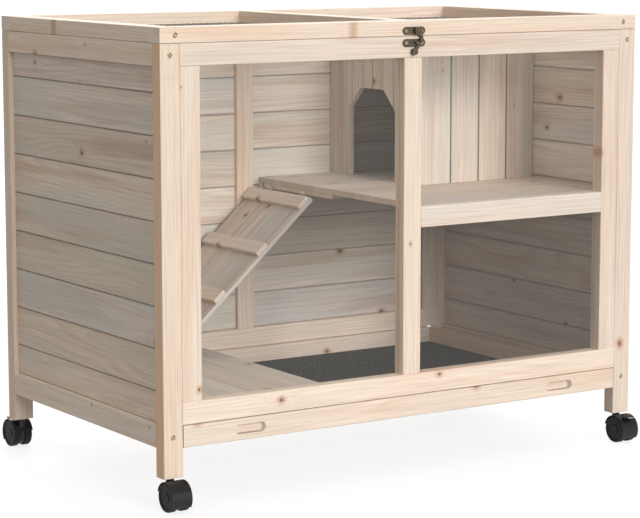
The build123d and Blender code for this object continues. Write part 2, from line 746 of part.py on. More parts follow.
def castor(corner, stem_x, stem_y, way):
    """One twin-wheel castor: hood with axle, wheel pair, and a brake pedal where there is one."""
    wheel_y = stem_y + way * castor_trail
    pin = (wheel_y + way * pedal_run, wheel_radius + pedal_rise)
    lug_start = pedal_width / 2 + wheel_side_gap
    with BuildPart() as hood:
        with BuildSketch(Plane.YZ.offset(stem_x - half_castor)):
            with Locations((wheel_y, wheel_radius)):
                Circle(hood_outer)
            with Locations((wheel_y - way * hood_outer, wheel_radius + hood_back_lift - hood_outer)):
                Rectangle(2 * hood_outer, 2 * hood_outer, mode=Mode.SUBTRACT)
            with Locations((wheel_y + way * hood_outer, wheel_radius - hood_front_drop - hood_outer)):
                Rectangle(2 * hood_outer, 2 * hood_outer, mode=Mode.SUBTRACT)
        extrude(amount=2 * half_castor)
        with BuildSketch(Plane.XY.offset(wheel_radius)):
            with Locations((stem_x, stem_y)):
                Circle(flange_radius)
        extrude(amount=hood_top - wheel_radius)
        for well in (stem_x + web_half, stem_x - half_castor - 1):
            with BuildSketch(Plane.YZ.offset(well)):
                with Locations((wheel_y, wheel_radius)):
                    Circle(hood_inner)
            extrude(amount=half_castor - web_half + 1, mode=Mode.SUBTRACT)
        with BuildSketch(Plane.YZ.offset(stem_x - web_half)):
            with Locations((wheel_y, wheel_radius)):
                Circle(wheel_radius - web_lift)
        extrude(amount=2 * web_half)
        with BuildSketch(Plane.YZ.offset(stem_x - half_castor + 1)):
            with Locations((wheel_y, wheel_radius)):
                Circle(axle_radius)
        extrude(amount=2 * (half_castor - 1))
        with BuildSketch(Plane.XY.offset(hood_top)):
            with Locations((stem_x, stem_y)):
                Circle(stem_radius + pin_fit)
        extrude(amount=-stem_depth, mode=Mode.SUBTRACT)
        if corner in braked:
            for start in (stem_x - lug_start - lug_width, stem_x + lug_start):
                with BuildSketch(Plane.YZ.offset(start)):
                    with Locations(pin):
                        Circle(pedal_hub)
                    with Locations(Location((pin[0] - way * pedal_run * lug_share / 2,
                                             pin[1] - pedal_rise * lug_share / 2), way * pedal_angle)):
                        Rectangle(pedal_circle * lug_share, 2 * pedal_hub)
                extrude(amount=lug_width)
            with BuildSketch(Plane.YZ.offset(stem_x - lug_start - lug_width)):
                with Locations(pin):
                    Circle(pedal_pin)
            extrude(amount=2 * (lug_start + lug_width))
    finish(hood, f"castor_hood_{corner}")
    with BuildPart() as wheels:
        for start in (stem_x + web_half + wheel_side_gap, stem_x - half_castor):
            with BuildSketch(Plane.YZ.offset(start)):
                with Locations((wheel_y, wheel_radius)):
                    Circle(wheel_radius)
            extrude(amount=wheel_width)
        fillet(wheels.edges().filter_by(GeomType.CIRCLE), wheel_round)
        with BuildSketch(Plane.YZ.offset(stem_x - half_castor)):
            with Locations((wheel_y, wheel_radius)):
                Circle(axle_radius + pin_fit)
        extrude(amount=2 * half_castor, mode=Mode.SUBTRACT)
    finish(wheels, f"castor_wheels_{corner}")
    if corner in braked:
        with BuildPart() as pedal:
            with BuildSketch(Plane.YZ.offset(stem_x - pedal_width / 2)):
                with Locations(pin):
                    Circle(pedal_hub)
                with Locations((pin[0] + way * pedal_length / 2, pin[1])):
                    Rectangle(pedal_length, pedal_thickness)
                with Locations(pin):
                    Circle(pedal_pin + pin_fit, mode=Mode.SUBTRACT)
            extrude(amount=pedal_width)
        finish(pedal, f"brake_pedal_{corner}")


def castor_stems():
    """Flanged stems that are driven into the legs and carry the castors."""
    with BuildPart() as stems:
        for stem_x, stem_y, _ in leg_centres.values():
            with Locations((stem_x, stem_y, leg_bottom - flange_height)):
                Cylinder(flange_radius, flange_height, align=(Align.CENTER, Align.CENTER, Align.MIN))
            low = hood_top - stem_depth + neck_gap
            with Locations((stem_x, stem_y, low)):
                Cylinder(stem_radius, leg_bottom + stem_thread - stem_thread_gap - low,
                         align=(Align.CENTER, Align.CENTER, Align.MIN))
    finish(stems, "castor_stems")


os.makedirs("parts", exist_ok=True)
legs()
sides()
back_panel()
front_frame()
upper_floor()
bedroom()
platform()
ladder()
screw_eyes()
tray()
lid()
hinges()
latch()
castor_stems()
for corner, (stem_x, stem_y, way) in leg_centres.items():
    castor(corner, stem_x, stem_y, way)
screws("frame_screws", frame_screw, leg_screws)
screws("lid_screws", frame_screw, lid_screws)
screws("plate_screws_frame", plate_screw, catch_screws + fixed_leaf_screws)
screws("plate_screws_lid", plate_screw, latch_screws + lid_leaf_screws)
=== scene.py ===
"""The looks of an indoor rabbit hutch: planed fir, clear panes, a wire lid, bronze latch and castors.

Everything is in metres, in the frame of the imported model: +X right, +Y back, +Z up.
"""
import json
import logging
import math
import random
from dataclasses import dataclass, field
from enum import Enum

import bmesh
import bpy
from mathutils import Euler, Matrix, Vector


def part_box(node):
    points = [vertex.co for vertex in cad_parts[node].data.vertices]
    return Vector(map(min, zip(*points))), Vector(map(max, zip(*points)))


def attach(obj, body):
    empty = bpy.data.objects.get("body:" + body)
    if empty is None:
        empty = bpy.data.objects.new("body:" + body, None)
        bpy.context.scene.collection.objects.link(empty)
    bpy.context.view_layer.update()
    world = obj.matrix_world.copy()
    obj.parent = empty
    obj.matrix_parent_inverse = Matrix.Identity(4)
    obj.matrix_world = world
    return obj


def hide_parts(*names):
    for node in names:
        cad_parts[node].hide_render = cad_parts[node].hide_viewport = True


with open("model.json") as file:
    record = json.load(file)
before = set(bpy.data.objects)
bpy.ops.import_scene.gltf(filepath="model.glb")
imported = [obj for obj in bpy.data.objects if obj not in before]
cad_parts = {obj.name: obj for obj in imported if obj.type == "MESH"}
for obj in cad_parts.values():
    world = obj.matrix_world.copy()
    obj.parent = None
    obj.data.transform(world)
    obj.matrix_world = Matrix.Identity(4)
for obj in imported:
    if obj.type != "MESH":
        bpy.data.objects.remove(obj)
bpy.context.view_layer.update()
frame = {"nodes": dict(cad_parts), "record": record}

log = logging.getLogger("hutch")
MM = 0.001


class Role(Enum):
    """What a board is used for, which decides how it was chosen and cut."""

    FRAME = "fir"
    PANEL = "boards"


# ---------------------------------------------------------------- small tools
def linear(code: str) -> tuple[float, float, float, float]:
    """Turns an sRGB hex colour into linear values.

    Args:
        code: Six hex digits with a leading #.

    Returns:
        Red, green, blue and an alpha of 1.
    """
    parts = [int(code[i:i + 2], 16) / 255 for i in (1, 3, 5)]
    flat = [p / 12.92 if p <= 0.04045 else ((p + 0.055) / 1.055) ** 2.4 for p in parts]
    return (flat[0], flat[1], flat[2], 1.0)


def add(tree: bpy.types.NodeTree, kind: str, inputs: dict | None = None, **settings: object) -> bpy.types.Node:
    """Adds a node with its settings, its values and its links.

    Args:
        tree: Node tree to add to.
        kind: Blender's name of the node type.
        inputs: Socket name or number to a value or to another node's output.
        settings: Properties of the node itself.

    Returns:
        The new node.
    """
    node = tree.nodes.new(kind)
    for key, value in settings.items():
        setattr(node, key, value)
    for key, value in (inputs or {}).items():
        if isinstance(value, bpy.types.NodeSocket):
            tree.links.new(value, node.inputs[key])
        else:
            node.inputs[key].default_value = value
    return node


def new_material(name: str) -> tuple[bpy.types.Material, bpy.types.NodeTree, bpy.types.Node]:
    """Makes an empty material with a Principled shader.

    Args:
        name: Name of the finish.

    Returns:
        The material, its node tree and its shader node.
    """
    material = bpy.data.materials.new(name)
    material.use_nodes = True
    tree = material.node_tree
    tree.nodes.clear()
    shader = add(tree, "ShaderNodeBsdfPrincipled")
    add(tree, "ShaderNodeOutputMaterial", {"Surface": shader.outputs["BSDF"]})
    return material, tree, shader


def new_piece(name: str, bm: bmesh.types.BMesh, material: bpy.types.Material,
              smooth_deg: float = 35.0) -> bpy.types.Object:
    """Turns a bmesh into a scene object with one material and smooth, crisp-edged shading.

    Args:
        name: Name of the piece.
        bm: Its geometry, which is freed.
        material: Its finish.
        smooth_deg: Edges sharper than this stay crisp.

    Returns:
        The new object.
    """
    mesh = bpy.data.meshes.new(name)
    bm.to_mesh(mesh)
    bm.free()
    for face in mesh.polygons:
        face.use_smooth = True
    mesh.set_sharp_from_angle(angle=math.radians(smooth_deg))
    piece = bpy.data.objects.new(name, mesh)
    bpy.context.scene.collection.objects.link(piece)
    mesh.materials.append(material)
    level_normals(piece)
    return piece


def level_normals(piece: bpy.types.Object) -> None:
    """Keeps broad faces flat where a small rounding meets them.

    Args:
        piece: The object, whose mesh is exchanged for one with weighted normals.
    """
    weights = piece.modifiers.new("weights", "WEIGHTED_NORMAL")
    weights.keep_sharp = True
    graph = bpy.context.evaluated_depsgraph_get()
    mesh = bpy.data.meshes.new_from_object(piece.evaluated_get(graph), depsgraph=graph)
    piece.modifiers.remove(weights)
    name, old = piece.data.name, piece.data
    piece.data = mesh
    bpy.data.meshes.remove(old)
    mesh.name = name


def cad_copy(node: str) -> bmesh.types.BMesh:
    """Copies a CAD node's mesh, with doubles merged and flat faces joined.

    Args:
        node: Name of the CAD node.

    Returns:
        The copy, to be changed and used in a piece.
    """
    bm = bmesh.new()
    bm.from_mesh(frame["nodes"][node].data)
    bmesh.ops.remove_doubles(bm, verts=bm.verts, dist=0.002 * MM)
    bmesh.ops.dissolve_limit(bm, angle_limit=math.radians(0.5), verts=bm.verts, edges=bm.edges)
    return bm


def islands(bm: bmesh.types.BMesh) -> list[list[bmesh.types.BMVert]]:
    """Splits a mesh into its separate solids.

    Args:
        bm: The mesh.

    Returns:
        The vertices of each solid, in the order of the mesh.
    """
    seen: set[bmesh.types.BMVert] = set()
    groups = []
    for start in bm.verts:
        if start in seen:
            continue
        group, queue = [], [start]
        seen.add(start)
        while queue:
            vert = queue.pop()
            group.append(vert)
            for edge in vert.link_edges:
                other = edge.other_vert(vert)
                if other not in seen:
                    seen.add(other)
                    queue.append(other)
        groups.append(group)
    return groups


def span(verts: list[bmesh.types.BMVert]) -> tuple[Vector, Vector]:
    """Lowest and highest corner of some vertices."""
    low = Vector(min(v.co[i] for v in verts) for i in range(3))
    high = Vector(max(v.co[i] for v in verts) for i in range(3))
    return low, high


def settled(verts: list[bmesh.types.BMVert]) -> tuple[float, ...]:
    """Rounded middle of some vertices, which settles a choice between equal edges or faces."""
    middle = sum((v.co for v in verts), Vector()) / len(verts)
    return tuple(round(value, 6) for value in middle)


def block(bm: bmesh.types.BMesh, low: Vector, high: Vector) -> list[bmesh.types.BMVert]:
    """Adds a box to a mesh.

    Args:
        bm: The mesh.
        low: Lowest corner.
        high: Highest corner.

    Returns:
        The new vertices.
    """
    middle, size = (low + high) / 2, high - low
    place = Matrix.Translation(middle) @ Matrix.Diagonal((*size, 1.0))
    return bmesh.ops.create_cube(bm, size=1.0, matrix=place)["verts"]


def lathe(bm: bmesh.types.BMesh, profile: list[tuple[float, float]], centre: Vector, axis: Vector,
          steps: int = 48) -> None:
    """Turns a profile round an axis and adds the closed shape to a mesh.

    Args:
        bm: The mesh.
        profile: Points as distance along the axis and radius, in metres, from end to end.
        centre: Point on the axis where the distance is 0.
        axis: Unit vector along the axis.
        steps: Number of flats round the turn.
    """
    side = axis.orthogonal().normalized()
    up = axis.cross(side)
    rings = []
    for along, radius in profile:
        if radius < 1e-7:
            rings.append([bm.verts.new(centre + axis * along)])
            continue
        ring = []
        for i in range(steps):
            angle = 2 * math.pi * i / steps
            spoke = side * math.cos(angle) + up * math.sin(angle)
            ring.append(bm.verts.new(centre + axis * along + spoke * radius))
        rings.append(ring)
    for first, second in zip(rings, rings[1:]):
        for i in range(steps):
            j = (i + 1) % steps
            corners = [first[i % len(first)], first[j % len(first)],
                       second[j % len(second)], second[i % len(second)]]
            unique = list(dict.fromkeys(corners))
            if len(unique) > 2:
                bm.faces.new(unique)
    bmesh.ops.recalc_face_normals(bm, faces=bm.faces)


# ---------------------------------------------------------------- finishes
@dataclass(frozen=True)
class FirFinish:
    """Planed fir under a thin clear lacquer: pale earlywood, fine darker latewood lines, a few knots.

    The lacquer is satin, so the wood takes a broad soft highlight and no mirror image.
    """

    name: str
    early: str
    late: str
    flush: str
    knot: str = "#8A5A3A"
    stain: str = "#CDBFA9"          # grey-green heartwood patches
    stain_strength: float = 0.0
    ring_mm: float = 4.0            # width of one year's growth on a flat-sawn face
    ring_strength: float = 0.30
    flush_strength: float = 0.75
    line_strength: float = 0.10     # resin lines, drawn 2.5 mm apart so that they show
    knot_cell_mm: tuple[float, float] = (190.0, 70.0)
    knot_share: float = 0.30        # part of the cells that hold a knot
    roughness: float = 0.55

    def make(self) -> bpy.types.Material:
        """Builds the material. The piece gives its own grain coordinates and tint.

        Returns:
            The finished material.
        """
        material, tree, shader = new_material(self.name)
        grain = add(tree, "ShaderNodeAttribute", attribute_name="grain").outputs["Vector"]
        tint = add(tree, "ShaderNodeAttribute", attribute_name="tint").outputs["Vector"]
        core, halo, swirl = self.knots(tree, grain)
        ring = self.rings(tree, grain, swirl)
        streak_at = add(tree, "ShaderNodeVectorMath", {0: grain, 1: (2.2, 40.0, 40.0)}, operation="MULTIPLY")
        streak = add(tree, "ShaderNodeTexNoise", {"Vector": streak_at.outputs[0], "Scale": 1.0, "Detail": 3.0})
        fibre_at = add(tree, "ShaderNodeVectorMath", {0: grain, 1: (14.0, 620.0, 620.0)}, operation="MULTIPLY")
        fibre = add(tree, "ShaderNodeTexNoise", {"Vector": fibre_at.outputs[0], "Scale": 1.0, "Detail": 3.0})
        latewood = add(tree, "ShaderNodeMath", {0: ring, 1: self.ring_strength}, operation="MULTIPLY")
        body = add(tree, "ShaderNodeMix", {0: latewood.outputs[0], 6: linear(self.early),
                                           7: linear(self.late)}, data_type="RGBA")
        flush = add(tree, "ShaderNodeMapRange", {"Value": streak.outputs["Fac"], "From Min": 0.47,
                                                 "From Max": 0.72, "To Max": self.flush_strength},
                    interpolation_type="SMOOTHSTEP")
        warmed = add(tree, "ShaderNodeMix", {0: flush.outputs[0], 6: body.outputs[2],
                                             7: linear(self.flush)}, data_type="RGBA")
        patch_at = add(tree, "ShaderNodeVectorMath", {0: grain, 1: (1.6, 14.0, 14.0)}, operation="MULTIPLY")
        patch = add(tree, "ShaderNodeTexNoise", {"Vector": patch_at.outputs[0], "Scale": 1.0, "Detail": 2.0})
        heart = add(tree, "ShaderNodeMapRange", {"Value": patch.outputs["Fac"], "From Min": 0.45,
                                                 "From Max": 0.65, "To Max": self.stain_strength},
                    interpolation_type="SMOOTHSTEP")
        warmed = add(tree, "ShaderNodeMix", {0: heart.outputs[0], 6: warmed.outputs[2],
                                             7: linear(self.stain)}, data_type="RGBA")
        fine = add(tree, "ShaderNodeMapRange", {"Value": fibre.outputs["Fac"], "From Min": 0.3,
                                                "From Max": 0.7, "To Min": 0.90, "To Max": 1.06})
        line_at = add(tree, "ShaderNodeVectorMath", {0: grain, 1: (5.0, 400.0, 400.0)}, operation="MULTIPLY")
        line = add(tree, "ShaderNodeTexNoise", {"Vector": line_at.outputs[0], "Scale": 1.0, "Detail": 2.0})
        drawn = add(tree, "ShaderNodeMapRange", {"Value": line.outputs["Fac"], "From Min": 0.36,
                                                 "From Max": 0.56, "To Min": 1 - self.line_strength,
                                                 "To Max": 1.0})
        both = add(tree, "ShaderNodeMath", {0: fine.outputs[0], 1: drawn.outputs[0]}, operation="MULTIPLY")
        lined = add(tree, "ShaderNodeVectorMath", {0: warmed.outputs[2], "Scale": both.outputs[0]},
                    operation="SCALE")
        tinted = add(tree, "ShaderNodeVectorMath", {0: lined.outputs[0], 1: tint}, operation="MULTIPLY")
        ringed = add(tree, "ShaderNodeMix", {0: halo, 6: tinted.outputs[0], 7: linear("#B98A62")},
                     data_type="RGBA")
        knotted = add(tree, "ShaderNodeMix", {0: core, 6: ringed.outputs[2], 7: linear(self.knot)},
                      data_type="RGBA")
        tree.links.new(knotted.outputs[2], shader.inputs["Base Color"])
        rough = add(tree, "ShaderNodeMapRange", {"Value": fibre.outputs["Fac"],
                                                 "To Min": self.roughness - 0.06,
                                                 "To Max": self.roughness + 0.08})
        tree.links.new(rough.outputs[0], shader.inputs["Roughness"])
        relief = add(tree, "ShaderNodeMath", {0: ring, 1: fibre.outputs["Fac"]}, operation="ADD")
        bump = add(tree, "ShaderNodeBump", {"Strength": 0.25, "Distance": 0.1 * MM,
                                            "Height": relief.outputs[0]})
        tree.links.new(bump.outputs[0], shader.inputs["Normal"])
        shader.inputs["Specular IOR Level"].default_value = 0.35
        return material

    def knots(self, tree: bpy.types.NodeTree, grain: bpy.types.NodeSocket) -> tuple[
            bpy.types.NodeSocket, bpy.types.NodeSocket, bpy.types.NodeSocket]:
        """Adds the knots: one at most in each cell of a scattered pattern.

        Args:
            tree: The material's tree.
            grain: Grain coordinates in metres.

        Returns:
            Masks of the knots' cores and of the darker wood round them, and how far the rings bend.
        """
        along, across = (size * MM for size in self.knot_cell_mm)
        cell = add(tree, "ShaderNodeVectorMath", {0: grain, 1: (1 / along, 1 / across, 0.0)},
                   operation="MULTIPLY")
        scatter = add(tree, "ShaderNodeTexVoronoi", {"Vector": cell.outputs[0], "Scale": 1.0,
                                                     "Randomness": 0.9}, voronoi_dimensions="2D")
        offset = add(tree, "ShaderNodeVectorMath", {0: scatter.outputs["Position"], 1: cell.outputs[0]},
                     operation="SUBTRACT")
        real = add(tree, "ShaderNodeVectorMath", {0: offset.outputs[0], 1: (along * 0.75, across, 0.0)},
                   operation="MULTIPLY")
        ragged = add(tree, "ShaderNodeTexNoise", {"Vector": grain, "Scale": 220.0, "Detail": 1.0})
        wobble = add(tree, "ShaderNodeMapRange", {"Value": ragged.outputs["Fac"], "To Min": 0.7,
                                                  "To Max": 1.3})
        length = add(tree, "ShaderNodeVectorMath", {0: real.outputs[0]}, operation="LENGTH")
        away = add(tree, "ShaderNodeMath", {0: length.outputs["Value"], 1: wobble.outputs[0]},
                   operation="MULTIPLY")
        dice = add(tree, "ShaderNodeSeparateColor", {0: scatter.outputs["Color"]})
        chosen = add(tree, "ShaderNodeMath", {0: dice.outputs[0], 1: 1 - self.knot_share},
                     operation="GREATER_THAN")
        size = add(tree, "ShaderNodeMapRange", {"Value": dice.outputs[1], "To Min": 1.6 * MM,
                                                "To Max": 4.2 * MM})
        radius = add(tree, "ShaderNodeMath", {0: size.outputs[0], 1: chosen.outputs[0]},
                     operation="MULTIPLY")
        inside = add(tree, "ShaderNodeMath", {0: radius.outputs[0], 1: away.outputs[0]},
                     operation="SUBTRACT")
        core = add(tree, "ShaderNodeMapRange", {"Value": inside.outputs[0], "From Min": 0.0,
                                                "From Max": 1.6 * MM, "To Max": 0.85},
                   interpolation_type="SMOOTHSTEP")
        around = add(tree, "ShaderNodeMath", {0: radius.outputs[0], 1: 3.0}, operation="MULTIPLY")
        beyond = add(tree, "ShaderNodeMath", {0: around.outputs[0], 1: away.outputs[0]},
                     operation="SUBTRACT")
        halo = add(tree, "ShaderNodeMapRange", {"Value": beyond.outputs[0], "From Min": -0.5 * MM,
                                                "From Max": 10 * MM, "To Max": 0.8},
                   interpolation_type="SMOOTHSTEP")
        bend = add(tree, "ShaderNodeMapRange", {"Value": away.outputs[0], "From Max": 26 * MM,
                                                "To Min": 14 * MM, "To Max": 0.0},
                   interpolation_type="SMOOTHERSTEP")
        swirl = add(tree, "ShaderNodeMath", {0: bend.outputs[0], 1: chosen.outputs[0]},
                    operation="MULTIPLY")
        return core.outputs[0], halo.outputs[0], swirl.outputs[0]

    def rings(self, tree: bpy.types.NodeTree, grain: bpy.types.NodeSocket,
              swirl: bpy.types.NodeSocket) -> bpy.types.NodeSocket:
        """Adds the growth rings: shells round a trunk's middle that wander along the board.

        Args:
            tree: The material's tree.
            grain: Grain coordinates in metres.
            swirl: How far a knot pushes the rings aside, in metres.

        Returns:
            A mask that is 1 on the dark edge of each ring.
        """
        cross = add(tree, "ShaderNodeVectorMath", {0: grain, 1: (0.0, 1.0, 1.0)}, operation="MULTIPLY")
        out = add(tree, "ShaderNodeVectorMath", {0: cross.outputs[0]}, operation="LENGTH")
        drift_at = add(tree, "ShaderNodeVectorMath", {0: grain, 1: (1.3, 9.0, 9.0)}, operation="MULTIPLY")
        drift = add(tree, "ShaderNodeTexNoise", {"Vector": drift_at.outputs[0], "Scale": 1.0, "Detail": 2.0})
        wander = add(tree, "ShaderNodeMapRange", {"Value": drift.outputs["Fac"], "To Min": -22 * MM,
                                                  "To Max": 22 * MM})
        moved = add(tree, "ShaderNodeMath", {0: out.outputs["Value"], 1: wander.outputs[0]}, operation="ADD")
        bent = add(tree, "ShaderNodeMath", {0: moved.outputs[0], 1: swirl}, operation="ADD")
        turns = add(tree, "ShaderNodeMath", {0: bent.outputs[0], 1: 1 / (self.ring_mm * MM)},
                    operation="MULTIPLY")
        part = add(tree, "ShaderNodeMath", {0: turns.outputs[0]}, operation="FRACT")
        rise = add(tree, "ShaderNodeMapRange", {"Value": part.outputs[0], "From Min": 0.25,
                                                "From Max": 0.88}, interpolation_type="SMOOTHSTEP")
        fall = add(tree, "ShaderNodeMapRange", {"Value": part.outputs[0], "From Min": 0.9,
                                                "From Max": 1.0, "To Min": 1.0, "To Max": 0.0})
        return add(tree, "ShaderNodeMath", {0: rise.outputs[0], 1: fall.outputs[0]},
                   operation="MULTIPLY").outputs[0]


@dataclass(frozen=True)
class MetalFinish:
    """A metal with fine grain and small stains: plated steel, or cast zinc bronzed and rubbed."""

    name: str
    base: str
    stain: str
    roughness: float
    grain_mm: float = 1.5
    stain_from: float = 0.45
    bump_mm: float = 0.02

    def make(self) -> bpy.types.Material:
        """Builds the material."""
        material, tree, shader = new_material(self.name)
        place = add(tree, "ShaderNodeTexCoord").outputs["Object"]
        cloud = add(tree, "ShaderNodeTexNoise", {"Vector": place, "Scale": 1 / (self.grain_mm * MM),
                                                 "Detail": 4.0})
        worn = add(tree, "ShaderNodeMapRange", {"Value": cloud.outputs["Fac"],
                                                "From Min": self.stain_from, "From Max": 0.65})
        colour = add(tree, "ShaderNodeMix", {0: worn.outputs[0], 6: linear(self.base),
                                             7: linear(self.stain)}, data_type="RGBA")
        tree.links.new(colour.outputs[2], shader.inputs["Base Color"])
        rough = add(tree, "ShaderNodeMapRange", {"Value": cloud.outputs["Fac"],
                                                 "To Min": self.roughness - 0.08,
                                                 "To Max": self.roughness + 0.12})
        tree.links.new(rough.outputs[0], shader.inputs["Roughness"])
        bump = add(tree, "ShaderNodeBump", {"Strength": 0.5, "Distance": self.bump_mm * MM,
                                            "Height": cloud.outputs["Fac"]})
        tree.links.new(bump.outputs[0], shader.inputs["Normal"])
        shader.inputs["Metallic"].default_value = 1.0
        return material


@dataclass(frozen=True)
class MouldedFinish:
    """Moulded plastic or rubber with a fine spark-eroded grain, so its highlight is broad and soft."""

    name: str
    base: str
    fleck: str
    roughness: float
    grain_mm: float
    fleck_from: float = 0.55
    bump_mm: float = 0.03
    specular: float = 0.5

    def make(self) -> bpy.types.Material:
        """Builds the material."""
        material, tree, shader = new_material(self.name)
        place = add(tree, "ShaderNodeTexCoord").outputs["Object"]
        speck = add(tree, "ShaderNodeTexNoise", {"Vector": place, "Scale": 1 / (self.grain_mm * MM),
                                                 "Detail": 2.0})
        dust = add(tree, "ShaderNodeMapRange", {"Value": speck.outputs["Fac"],
                                                "From Min": self.fleck_from, "From Max": 0.7})
        colour = add(tree, "ShaderNodeMix", {0: dust.outputs[0], 6: linear(self.base),
                                             7: linear(self.fleck)}, data_type="RGBA")
        tree.links.new(colour.outputs[2], shader.inputs["Base Color"])
        rough = add(tree, "ShaderNodeMapRange", {"Value": speck.outputs["Fac"],
                                                 "To Min": self.roughness - 0.05,
                                                 "To Max": self.roughness + 0.08})
        tree.links.new(rough.outputs[0], shader.inputs["Roughness"])
        bump = add(tree, "ShaderNodeBump", {"Strength": 0.6, "Distance": self.bump_mm * MM,
                                            "Height": speck.outputs["Fac"]})
        tree.links.new(bump.outputs[0], shader.inputs["Normal"])
        shader.inputs["Specular IOR Level"].default_value = self.specular
        return material


@dataclass(frozen=True)
class AcrylicFinish:
    """Clear cast acrylic, 2 mm thick: nearly invisible from the front, with a soft sheen at a slant."""

    name: str = "cast_acrylic"
    tint: str = "#F2F5F4"
    clear: float = 0.032            # part of the light that each face throws back head on
    gloss: float = 0.6              # and how much more at a grazing slant

    def make(self) -> bpy.types.Material:
        """Builds the material."""
        material, tree, shader = new_material(self.name)
        place = add(tree, "ShaderNodeTexCoord").outputs["Object"]
        ripple = add(tree, "ShaderNodeTexNoise", {"Vector": place, "Scale": 5.0, "Detail": 1.0})
        slant = add(tree, "ShaderNodeLayerWeight", {"Blend": 0.5}).outputs["Facing"]
        steep = add(tree, "ShaderNodeMath", {0: slant, 1: 5.0}, operation="POWER")
        sheen = add(tree, "ShaderNodeMath", {0: steep.outputs[0], 1: self.gloss, 2: self.clear},
                    operation="MULTIPLY_ADD")
        tree.links.new(sheen.outputs[0], shader.inputs["Alpha"])
        rough = add(tree, "ShaderNodeMapRange", {"Value": ripple.outputs["Fac"], "To Min": 0.02,
                                                 "To Max": 0.06})
        tree.links.new(rough.outputs[0], shader.inputs["Roughness"])
        shader.inputs["Base Color"].default_value = linear(self.tint)
        shader.inputs["IOR"].default_value = 1.49
        return material


@dataclass(frozen=True)
class Palette:
    """Every finish of the hutch."""

    timber: bpy.types.Material
    board: bpy.types.Material
    zinc: bpy.types.Material
    brassed: bpy.types.Material
    bronze: bpy.types.Material
    wire: bpy.types.Material
    nylon: bpy.types.Material
    tread: bpy.types.Material
    liner: bpy.types.Material
    acrylic: bpy.types.Material

    @classmethod
    def mix(cls) -> "Palette":
        """Builds every finish.

        Returns:
            The finished palette.
        """
        timber = FirFinish("lacquered_fir_timber", early="#EEDBC8", late="#D9B896", flush="#E3BC9D",
                           knot="#8A5738", ring_strength=0.24, flush_strength=0.5, knot_share=0.6)
        board = FirFinish("lacquered_fir_board", early="#E5D5C5", late="#BC9F88", flush="#C6A58C",
                          stain="#D3CDBF", stain_strength=0.7, ring_mm=4.0, ring_strength=0.28,
                          flush_strength=0.65,
                          knot_share=0.38, knot="#5B4433")
        return cls(
            timber=timber.make(),
            board=board.make(),
            zinc=MetalFinish("zinc_plated_steel", "#C9C7C1", "#A9A7A0", 0.3).make(),
            brassed=MetalFinish("yellow_zinc_steel", "#A8977A", "#75684F", 0.42).make(),
            bronze=MetalFinish("bronzed_cast_zinc", "#6C6152", "#2E2822", 0.45, bump_mm=0.05).make(),
            wire=MetalFinish("galvanised_wire", "#A39E96", "#7F7B75", 0.5).make(),
            nylon=MouldedFinish("black_nylon", "#11100F", "#1E1B19", 0.42, 0.6, specular=0.35).make(),
            tread=MouldedFinish("black_tread_rubber", "#131211", "#23201D", 0.55, 0.8, specular=0.3).make(),
            liner=MouldedFinish("grained_liner_board", "#1E1E1E", "#8A867F", 0.7, 3.4,
                                fleck_from=0.55, specular=0.15).make(),
            acrylic=AcrylicFinish().make(),
        )


